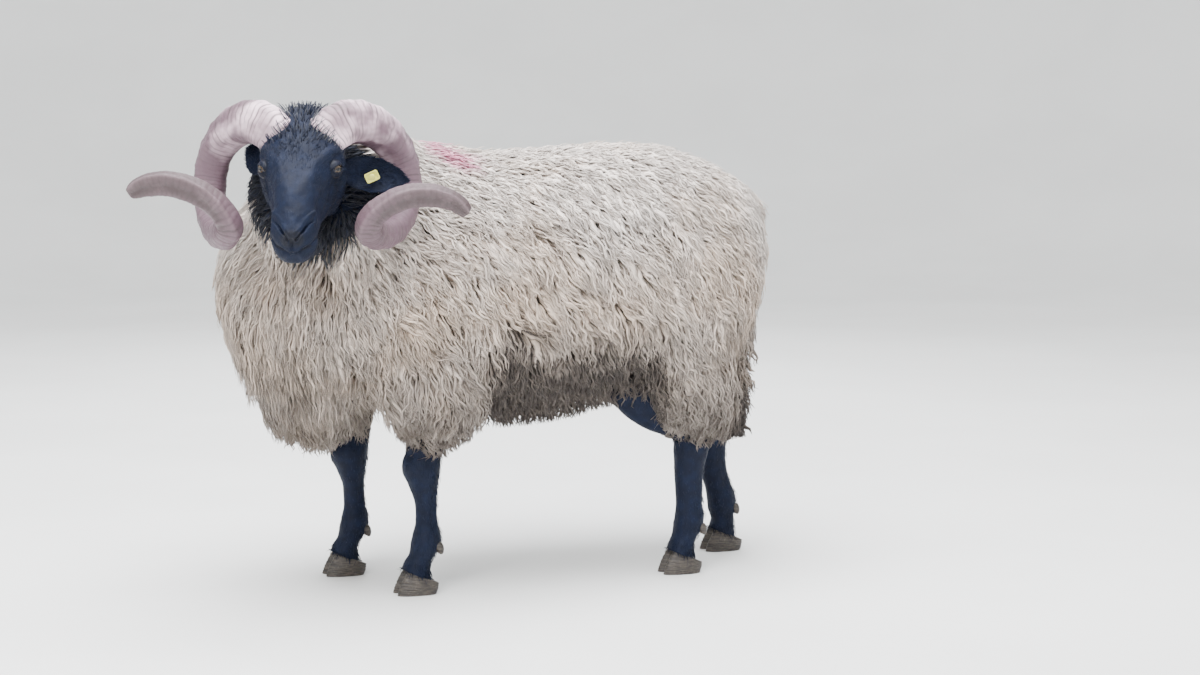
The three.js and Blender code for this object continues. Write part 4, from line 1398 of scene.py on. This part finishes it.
def hair_lie(points, normals):
    """The way the short hair lies, its length and how far it stands, on head, ears and legs."""
    face = to_face(points)
    x, y, z = face.T
    back = np.stack([-np.ones(len(x)), 0.12 * np.sign(y), -0.75 * ease(-10, -80, z) * ease(60, -20, x)], -1)
    lie = back @ TO_FACE.T
    length = 4 + 5 * ease(90, 20, x) + 13 * ease(-60, -100, z) * ease(50, -20, x)
    lift = 0.16 + 0.1 * ease(20, -60, x)
    poll = ease(30, -40, x) * ease(30, 60, z)
    length, lift = length + 8 * poll, lift + 0.3 * poll
    head = face_to_head(face)
    pale = 0.1 * poll
    for side in SIDES.values():
        base = [np.array([-24, side * 18, 32]), np.array([-30, side * 44, 66])]
        fringe = 1 - ease(36, 44, off_line(head, base))
        lie = lie * (1 - fringe[:, None]) + fringe[:, None] * ((base[1] - base[0]) / 43 @ TO_HEAD.T)
        length, lift, pale = length + 4 * fringe, lift + 0.18 * fringe, np.maximum(pale, 0.35 * fringe)
    for name in SIDES:
        line = ear_line(name)
        near = (off_line(head, [line[0] + 0.3 * (line[1] - line[0]), line[1]]) < 32)
        lie[near] = (line[1] - line[0]) @ TO_HEAD.T
        length[near], lift[near] = 8, 0.2
    low = points[:, 2] < 420
    behind = ease(0.1, -0.8, normals[:, 0])
    lie[low] = (-0.12, 0, -1)
    length[low] = (7 + 5 * behind + 4 * ease(70, 45, points[:, 2]))[low]
    lift[low] = (0.14 + 0.12 * behind)[low]
    lie = unit(lie)
    return lie - normals * dot(lie, normals)[:, None], length, lift, pale


def short_hair(skin_object, finish):
    """Small tufts on the black parts: finest on the muzzle, longer on poll, throat and heels."""
    points, normals = points_of(skin_object.data)
    height, black = points[:, 2], blackness(points) > 0.6
    for part, area in (("head", black & (height > 450)), ("legs", (height < 360) & black)):
        place, normal = points[area], normals[area]
        far = np.min([np.linalg.norm(to_face(place) - eye_centre(s), axis=1) for s in SIDES.values()], 0)
        wanted = np.where(far < EYE_RADIUS + 5, 0.1, 1.0)
        some = rng.uniform(size=len(place)) < HAIR_TUFTS[part] / wanted.sum() * wanted
        place, normal = place[some], normal[some]
        lie, length, lift, pale = hair_lie(place, normal)
        count = len(place)
        length = length * rng.uniform(0.7, 1.25, count)
        sway = np.cross(normal, lie) * rng.normal(0, 0.22, (count, 1))
        way = unit(lie + sway)
        share = np.linspace(0, 1, HAIR_POINTS)[None, :, None]
        rise = (lift * length)[:, None, None] * np.sin(share * 2.0)
        path = (place - normal * 0.8)[:, None] + way[:, None] * share * length[:, None, None]
        path = path + normal[:, None] * rise
        width = (0.42 + 0.022 * length)[:, None] * np.array([0.8, 1.0, 0.7, 0.2])[None]
        outward = np.repeat(normal[:, None], HAIR_POINTS, 1)
        marks = {"pale": np.clip(pale * rng.uniform(-0.6, 1.5, count), 0, 1)}
        strands(f"hair_{part}", path, outward, width, 0.5 * width, marks, unwrapped(place), finish,
                "black_hair")


# ---- build

studio()
wool, hair, hide = fleece_finish(), hair_finish(), skin_finish()
horn_coat, hoof, glass, plastic = horn_finish(), claw_finish(), eye_finish(), tag_finish()

guide_object = merged("guide", [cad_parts[name] for name in FLEECED], GUIDE_VOXEL)
relaxed(guide_object.data, 3)
filled(guide_object.data, 16)
filled(guide_object.data, 110, under_chest)
trimmed_below(guide_object.data)
core = body_core(guide_object)
whole_skin = skin(core, hide)
horns = [horn(name, horn_coat) for name in SIDES]
for name, side in SIDES.items():
    eye(name, side, glass)
ear_tag(plastic)
short_hair(whole_skin, hair)
for name in STANDS:
    claws(name, hoof)
fleece(guide_object, [Surface(thing) for thing in horns], Surface(whole_skin), wool)
bpy.data.objects.remove(guide_object)

bpy.context.view_layer.update()
